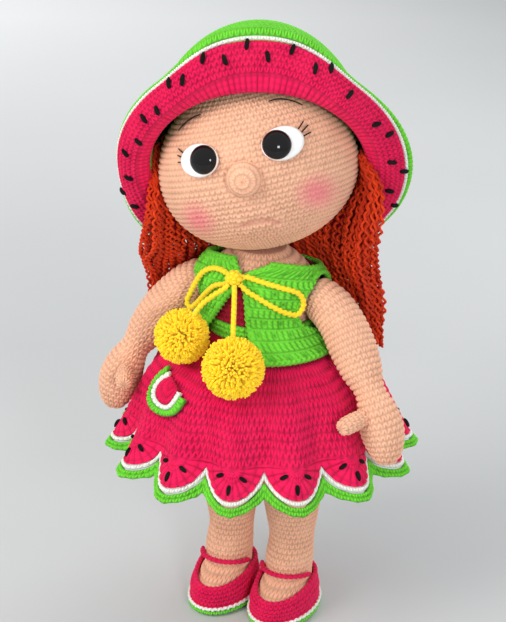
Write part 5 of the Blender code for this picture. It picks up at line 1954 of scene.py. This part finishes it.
class DOLL_OT_shoes(bpy.types.Operator):
    """Crochets the shoes, with their soles, edges and straps"""

    bl_idname = "doll.shoes"
    bl_label = "Shoes"

    def execute(self, context):
        size = settings()
        for side, sign in (("left", 1), ("right", -1)):
            aside = sign * LEG_ASIDE
            table = np.array(SHOE_ROWS)

            def opening(turn):
                return SHOE_ROWS[-1][0] - SHOE_DIP * np.clip(-np.sin(turn), 0, 1) ** 0.8

            def shoe_spot(turn, height, inside=0.0, aside=aside):
                half = smooth(table[:, 0], table[:, 1:], height)
                wide, deep, shift = np.moveaxis(half, -1, 0)
                x = aside + (wide - inside) * np.cos(turn)
                return np.stack([x, -shift + (deep - inside) * np.sin(turn), height], -1)

            def shape(u, v):
                low = SHOE_ROWS[0][0]
                return shoe_spot(TAU * u, low + (opening(TAU * u) - low) * v)

            upper = knit(
                f"shoe_{side}",
                shape,
                by_girth(shape, 5, size.stitch_width),
                5,
                depth=size.stitch_depth,
                fine=(6, 6),
                thick=0.0021,
            )
            dress_piece(
                upper, look("pink_wool"), "torso", "pink_yarn", (f"shoe_upper_{side}",)
            )

            sole_rows = (
                (0.0002, 0.0168, 0.0262, SHOE_FORWARD),
                (0.0010, 0.0180, 0.0274, SHOE_FORWARD),
                (0.0030, 0.0183, 0.0277, SHOE_FORWARD),
                (SOLE, 0.0176, 0.0270, SHOE_FORWARD),
            )
            sole = upright(sole_rows, aside)
            bottom = knit(
                f"sole_{side}",
                sole,
                44,
                1,
                depth=size.stitch_depth,
                fine=(6, 8),
                caps=(True, True),
            )
            dress_piece(
                bottom, look("green_wool"), "torso", "green_yarn", (f"shoe_sole_{side}",)
            )

            turns = np.linspace(0, TAU, 264, endpoint=False)
            zigzag = 0.0006 * np.abs(np.sin(turns * 22)) * 1.6
            line = np.stack(
                [
                    aside + 0.0184 * np.cos(turns),
                    -SHOE_FORWARD + 0.0278 * np.sin(turns),
                    SOLE + 0.0003 + zigzag,
                ],
                -1,
            )
            welt = rope(f"shoe_line_{side}", line, 0.0009, 0.0022, closed=True, ply=0.4)[0]
            dress_piece(welt, look("white_wool"), "torso", "white_yarn")

            rim = shoe_spot(turns[::3], opening(turns[::3]), 0.0008)
            rim[:, 2] += 0.0004
            edge = rope(f"shoe_edge_{side}", rim, 0.0014, 0.0030, closed=True, ply=0.45)[0]
            dress_piece(edge, look("pink_wool"), "torso", "pink_yarn")

            legs = np.array(LEG_ROWS)
            bend = np.radians(np.linspace(-74, 74, 25))
            height = 0.0225 + 0.0014 * (1.2 + 1.6 * np.cos(bend))
            wide, deep, shift = np.moveaxis(smooth(legs[:, 0], legs[:, 1:], height), -1, 0)
            room = 0.0014 + 0.0012
            points = np.stack(
                [
                    aside + (wide + room) * np.sin(bend),
                    -shift - (deep + room) * np.cos(bend),
                    height,
                ],
                -1,
            )
            strap = rope(f"strap_{side}", points, 0.0014, 0.0028, ply=0.45)[0]
            dress_piece(
                strap, look("pink_wool"), "torso", "pink_yarn", (f"shoe_strap_{side}",)
            )
        return {"FINISHED"}


HAT_YAW = math.radians(24)
HAT_TIP = math.radians(64)
HAT_ASIDE = 0.0006
HAT_FORWARD = 0.005
HAT_CLOTH = 0.0028
HAT_INNER = 0.0560
HAT_OVAL = 0.94
CROWN_RADIUS = 0.0555
CROWN_WALL = 0.012
CROWN_DOME = 0.0792
CROWN_TAPER = 1.05
BRIM_PINK = 0.0226
BRIM_WHITE = 0.0017
BRIM_TOP_SHARE = 0.16
BRIM_GREEN = 0.0034
BRIM_WHOLE = BRIM_PINK + BRIM_WHITE + BRIM_GREEN + 2 * SEAM
BRIM_ROLL = (
    (-180, 40, 72),
    (-160, 31, 73),
    (-135, -35, 50),
    (-90, -50, 110),
    (-45, -50, 110),
    (0, 30, 39),
    (45, -50, 110),
    (90, -50, 51),
    (135, -35, 50),
    (180, 40, 72),
)
HAT_TURN = rotation(HAT_YAW, "Z") @ rotation(-HAT_TIP, "X")


def hat_place(points):
    """Points of the hat's own frame, with the crown along its Z."""
    moved = points + np.array([HAT_ASIDE, 0.0, -HAT_FORWARD])
    return moved @ HAT_TURN.T + np.array(HEAD_CENTRE)


def brim_lean(angle):
    """The brim's lean at its root and at its edge, by the angle from the opening's top."""
    table = np.array(BRIM_ROLL, float)
    degrees = np.degrees(np.mod(angle + math.pi, TAU) - math.pi)
    at = np.clip(np.searchsorted(table[:, 0], degrees, side="right") - 1, 0, len(table) - 2)
    low, high = table[at], table[at + 1]
    share = (degrees - low[..., 0]) / (high[..., 0] - low[..., 0])
    ease = ((1 - np.cos(math.pi * share)) / 2)[..., None]
    return np.radians(low[..., 1:] + (high[..., 1:] - low[..., 1:]) * ease)


def brim_spot(angle, out, raised=0.0):
    """The brim's face side by the angle and the distance out along its cloth."""
    lean = brim_lean(angle)
    start, bend = lean[..., 0], (lean[..., 1] - lean[..., 0]) / BRIM_WHOLE
    out = out * (1 + BRIM_TOP_SHARE * np.exp(-((np.arcsin(np.sin(angle / 2)) / 0.42) ** 2)))
    bend = np.where(np.abs(bend) < 1.0, 1.0, bend)
    now = start + bend * out
    reach = (np.sin(now) - np.sin(start)) / bend + raised * -np.sin(now) * -1
    rise = (np.cos(start) - np.cos(now)) / bend - raised * np.cos(now)
    radius = HAT_INNER + reach
    across = radius * np.sin(angle)
    along = -(radius - HAT_INNER * (1 - HAT_OVAL)) * np.cos(angle)
    return hat_place(np.stack([across, along, rise], -1))


SEED_SPOTS = (
    (-4, 21.2, 80),
    (-13, 16.0, 100),
    (-21, 20.0, 70),
    (-31, 16.2, 60),
    (-37, 19.0, 75),
    (-48, 12.4, 60),
    (-56, 14.2, 75),
    (-69, 10.2, 60),
    (-79, 14.8, 60),
    (-94, 12.8, 80),
    (-106, 21.5, 75),
    (-113, 16.5, 80),
    (4, 16.0, 100),
    (13, 20.6, 80),
    (23, 16.6, 100),
    (29, 20.8, 95),
    (40, 16.0, 80),
    (59, 14.8, 60),
    (67, 18.0, 80),
    (81, 15.4, 70),
    (88, 21.6, 70),
    (99, 15.2, 80),
    (109, 21.8, 80),
    (122, 16.5, 80),
    (134, 21.0, 80),
    (146, 16.5, 80),
    (158, 21.0, 80),
    (170, 16.5, 80),
    (182, 21.0, 80),
    (194, 16.5, 80),
    (206, 21.0, 80),
    (219, 16.5, 80),
    (231, 21.0, 80),
)
SEED_LENGTH = 0.0050
SEED_RADIUS = 0.00125


class DOLL_OT_hat(bpy.types.Operator):
    """Crochets the sun hat's crown and its rolled brim, with the seeds"""

    bl_idname = "doll.hat"
    bl_label = "Sun Hat"

    def execute(self, context):
        size = settings()
        angles = np.linspace(0, math.pi / 2, 12)
        profile = [(HAT_CLOTH, HAT_INNER, HAT_INNER * HAT_OVAL)]
        middle = (HAT_INNER + CROWN_RADIUS) / 2
        profile.append((CROWN_WALL * 0.6, middle, (middle + HAT_INNER * HAT_OVAL) / 2))
        for angle in angles[:-1]:
            wide = CROWN_RADIUS * math.cos(angle) ** CROWN_TAPER
            profile.append((CROWN_WALL + CROWN_DOME * math.sin(angle), wide, wide))
        profile.append((CROWN_WALL + CROWN_DOME, 0.0006, 0.0006))
        profile = np.array(profile)
        steps = np.linalg.norm(np.diff(profile[:, :2], axis=0), axis=1)
        along = np.concatenate([[0], np.cumsum(steps)]) / steps.sum()

        def dome(u, v):
            level, wide, deep = np.moveaxis(smooth(along, profile, v), -1, 0)
            angle = TAU * u
            grown = HAT_CLOTH * np.clip(wide / 0.02, 0, 1)
            point = np.stack(
                [(wide + grown) * np.cos(angle), (deep + grown) * np.sin(angle), level], -1
            )
            point[..., 2] += HAT_CLOTH * np.clip((v - 0.4) / 0.6, 0, 1)
            return hat_place(point)

        rows = round(steps.sum() / size.row_height)
        crown = knit(
            "hat_dome",
            dome,
            by_girth(dome, rows, size.stitch_width),
            rows,
            depth=size.stitch_depth,
            fine=(5, 4),
            thick=HAT_CLOTH,
        )
        dress_piece(crown, look("green_wool"), "hat", "green_yarn", ("hat_crown",))

        tall = 0.0088

        def pink(u, v):
            return brim_spot(TAU * u - math.pi, BRIM_PINK * v)

        def stitches(u, v, points, height):
            out = BRIM_PINK * v
            long_ones = rib_stitch(np.mod(u * 132, 1.0), np.clip(out / tall, 0, 1))
            long_ones = long_ones * (0.82 + 0.18 * np.cos(TAU * out / 0.0030))
            row = np.clip(np.floor((out - tall) / 0.00276), 0, 9)
            up = np.clip((out - tall) / 0.00276 - row, 0, 1)
            count = 142 + 6 * row
            small = single_stitch(np.mod(u * count + 0.5 * row, 1.0), up)
            blend = np.clip((out - tall) / 0.0009 + 0.5, 0, 1)
            relief = long_ones * (1 - blend) + small * blend
            ridge = 0.0007 * np.exp(-(((out - tall) / 0.0012) ** 2))
            return size.stitch_depth * (relief - 0.55) + ridge, {"relief": relief}

        brim = knit(
            "brim_pink",
            pink,
            170,
            8,
            lambda a, b: np.full_like(a, 0.55),
            fine=(5, 8),
            thick=HAT_CLOTH,
            extra=stitches,
            double=True,
        )
        dress_piece(brim, look("pink_wool"), "hat", "pink_yarn", ("hat_brim",))

        first = BRIM_PINK + SEAM
        second = first + BRIM_WHITE + SEAM
        for name, low, wide, count, material, slot, node in (
            ("brim_white", first, BRIM_WHITE, 168, "white_wool", "white_yarn", "hat_rind"),
            ("brim_green", second, BRIM_GREEN, 172, "green_wool", "green_yarn", "hat_edge"),
        ):

            def band(u, v, low=low, wide=wide):
                return brim_spot(TAU * u - math.pi, low + wide * v)

            made = knit(
                name,
                band,
                count,
                1,
                depth=size.stitch_depth * 1.2,
                fine=(6, 7),
                thick=HAT_CLOTH,
                double=True,
            )
            dress_piece(made, look(material), "hat", slot, (node,))

        tubes = []
        for degrees, out, spin in SEED_SPOTS:
            line = []
            for step in np.linspace(-0.5, 0.5, 7):
                far = out / 1000 + step * SEED_LENGTH * math.sin(math.radians(spin))
                aside = step * SEED_LENGTH * math.cos(math.radians(spin)) / 0.068
                line.append(brim_spot(np.array(math.radians(degrees) + aside), far, 0.0007))
            taper = (0.4, 0.9, 1.0, 1.0, 1.0, 0.8, 0.35)
            tubes.append(bar(line, SEED_RADIUS, 8, "seed", taper=taper))
        if tubes:
            seeds = strands_object("brim_seeds", tubes)
            dress_piece(seeds, look("seed_thread"), "hat")
        return {"FINISHED"}


HAIR_LOW = 0.1525
HAIR_CURTAINS = {
    "left": (
        (0.268, 49, 12, 44, 24, 1.0),
        (0.252, 60, 9, 46, 24, 3.0),
        (0.238, 62, 1, 43, 24, 5.0),
        (0.222, 61, 1, 37, 24, 5.5),
        (0.207, 59, 7, 34, 25, 5.5),
        (0.192, 58, 16, 38, 29, 5.0),
        (0.178, 58, 21, 42, 32, 5.0),
        (0.165, 57, 24, 44, 32, 4.5),
        (0.148, 56, 25, 48, 30, 4.0),
    ),
    "right": (
        (0.268, -52, -14, -50, 14, 1.0),
        (0.252, -50, -26, -49, 10, 2.0),
        (0.238, -49, -33, -44, 6, 3.5),
        (0.222, -56, -26, -38, 10, 5.0),
        (0.207, -63, -16, -35, 18, 5.5),
        (0.197, -71, -5, -35, 24, 5.0),
        (0.184, -74, 9, -42, 28, 4.5),
        (0.165, -74, 12, -50, 26, 4.5),
        (0.148, -70, 14, -58, 24, 4.0),
    ),
}


def off_head(points, room):
    """Points moved out of the head until they lie that far off its skin."""
    local = (points - np.array(HEAD_CENTRE)) @ HEAD_TURN
    ways = unit(local)
    half = np.array(HEAD_HALF) + room
    wide = half[0] * (1 - HEAD_CHEEK * ways[..., 2])
    scaled = np.sqrt(
        (local[..., 0] / wide) ** 2 + (local[..., 1] / half[1]) ** 2 + (local[..., 2] / half[2]) ** 2
    )
    grow = np.maximum(1.0, 1.0 / np.maximum(scaled, 0.3))
    return (local * grow[..., None]) @ HEAD_TURN.T + np.array(HEAD_CENTRE)


def crimped(rng, line, radius):
    """A crimped yarn along a line, as a tube."""
    lengths = np.concatenate(
        [[0], np.cumsum(np.linalg.norm(np.diff(line, axis=0), axis=1))]
    )
    at = np.arange(0, lengths[-1], 0.00062)
    core = np.stack([np.interp(at, lengths, line[:, k]) for k in range(3)], -1)
    pitch = rng.uniform(0.0042, 0.0066)
    phase = rng.uniform(0, TAU) + TAU * at / pitch + 0.8 * np.sin(at / 0.011 + rng.uniform(0, TAU))
    swing = radius * rng.uniform(0.8, 1.5)
    core[:, 0] += swing * np.cos(phase)
    core[:, 1] += swing * 0.8 * np.sin(phase)
    slow = rng.uniform(0, TAU)
    core[:, 0] += 0.0010 * np.sin(at / 0.009 + slow)
    core[:, 1] += 0.0007 * np.sin(at / 0.013 + 2 * slow)
    return bar(core, radius, 5, "hair", taper=np.clip(1.15 - 0.3 * (at / lengths[-1]) ** 6, 0.4, 1))


class DOLL_OT_hair(bpy.types.Operator):
    """Makes the crimped yarn hair beside and behind the head"""

    bl_idname = "doll.hair"
    bl_label = "Hair"

    def execute(self, context):
        size = settings()
        rng = np.random.default_rng(5)
        for side, rows in HAIR_CURTAINS.items():
            table = np.array(rows, float)[::-1]
            tubes, tints = [], []
            for layer in range(4):
                across = 17 if layer < 3 else 13
                for k in range(across):
                    share = (k + rng.uniform(0.25, 0.75)) / across
                    deep = (layer - 1.5) / 1.5 + rng.uniform(-0.18, 0.18)
                    top = rng.uniform(0.262, 0.268)
                    low = HAIR_LOW + rng.uniform(-0.002, 0.006) + (0.008 if side == "right" else 0.0)
                    heights = np.arange(top, low, -0.003)
                    values = smooth(table[:, 0], table[:, 1:], heights)
                    ax, ay, bx, by, thick = np.moveaxis(values, -1, 0)
                    way = unit(np.stack([bx - ax, by - ay], -1))
                    x = ax + (bx - ax) * share - way[:, 1] * thick * deep
                    y = ay + (by - ay) * share + way[:, 0] * thick * deep
                    line = np.stack([x / 1000, y / 1000, heights], -1)
                    line = off_head(line, 0.0016 + 0.0006 * layer)
                    tubes.append(crimped(rng, line, size.hair_radius))
                    tints.append(float(np.clip(rng.normal(0.4, 0.25), 0, 1)))
            made = strands_object(f"hair_{side}_strands", tubes, tints=tints)
            dress_piece(
                made,
                look("hair_wool"),
                None,
                "hair_yarn",
                (f"hair_{side}_top", f"hair_{side}_end"),
            )
            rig.blend(made, "torso", "head", (0, 0, 0.196), (0, 0, 0.232))

        tubes, tints = [], []
        for layer in range(3):
            across = 44
            for k in range(across):
                share = (k + rng.uniform(0.2, 0.8)) / across * 2 - 1
                low = HAIR_LOW + rng.uniform(-0.0005, 0.004)
                heights = np.arange(0.228, low, -0.003)
                level = np.maximum(heights, VEST_LOW)
                back = vest_spot((level - VEST_LOW) / 0.038, np.full_like(level, math.pi), CLOTH)
                table = np.array(((0.1525, 24.4), (0.168, 5.5), (0.185, 0.0), (0.23, 0.0)))
                out = smooth(table[:, 0], table[:, 1], heights)[..., 0] / 1000
                bow = 1 - 0.25 * share**2
                neck = np.clip((heights - 0.196) / 0.02, 0, 1)
                y = (back[:, 1] + out) * bow + 0.0022 + 0.0026 * layer + 0.002 * neck
                wide = 0.038 - 0.007 * neck
                line = np.stack([share * wide + 0 * y, y, heights], -1)
                line = off_head(line, 0.0016 + 0.0012 * layer)
                tubes.append(crimped(rng, line, size.hair_radius))
                tints.append(float(np.clip(rng.normal(0.45, 0.25), 0, 1)))
        made = strands_object("hair_back_strands", tubes, tints=tints)
        dress_piece(made, look("hair_wool"), None, "hair_yarn", ("hair_back",))
        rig.blend(made, "torso", "head", (0, 0, 0.196), (0, 0, 0.226))
        return {"FINISHED"}


class DOLL_PT_pieces(bpy.types.Panel):
    """The doll's settings and the operators that make it"""

    bl_idname = "DOLL_PT_pieces"
    bl_label = "Crochet Doll"
    bl_space_type = "VIEW_3D"
    bl_region_type = "UI"
    bl_category = "Doll"

    def draw(self, context):
        for key in CrochetDollSettings.__annotations__:
            self.layout.prop(context.scene.crochet_doll, key)
        for operator in OPERATORS:
            self.layout.operator(operator.bl_idname)


OPERATORS = [made for key, made in list(globals().items()) if key.startswith("DOLL_OT_")]
OPERATORS.remove(DOLL_OT_tie)
OPERATORS.insert(OPERATORS.index(DOLL_OT_setting) + 1, DOLL_OT_tie)


def register():
    bpy.utils.register_class(CrochetDollSettings)
    bpy.types.Scene.crochet_doll = bpy.props.PointerProperty(type=CrochetDollSettings)
    for made in (*OPERATORS, DOLL_PT_pieces):
        bpy.utils.register_class(made)


def unregister():
    for made in (DOLL_PT_pieces, *reversed(OPERATORS)):
        bpy.utils.unregister_class(made)
    del bpy.types.Scene.crochet_doll
    bpy.utils.unregister_class(CrochetDollSettings)


def main():
    register()
    for operator in OPERATORS:
        group, name = operator.bl_idname.split(".")
        getattr(getattr(bpy.ops, group), name)()
    bpy.context.view_layer.update()
    sizes = {"cad": CAD_BOUNDS, "visual": [list(corner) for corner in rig.bounds()]}
    with open("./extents.json", "w") as out:
        json.dump(sizes, out)


if __name__ == "__main__":
    main()
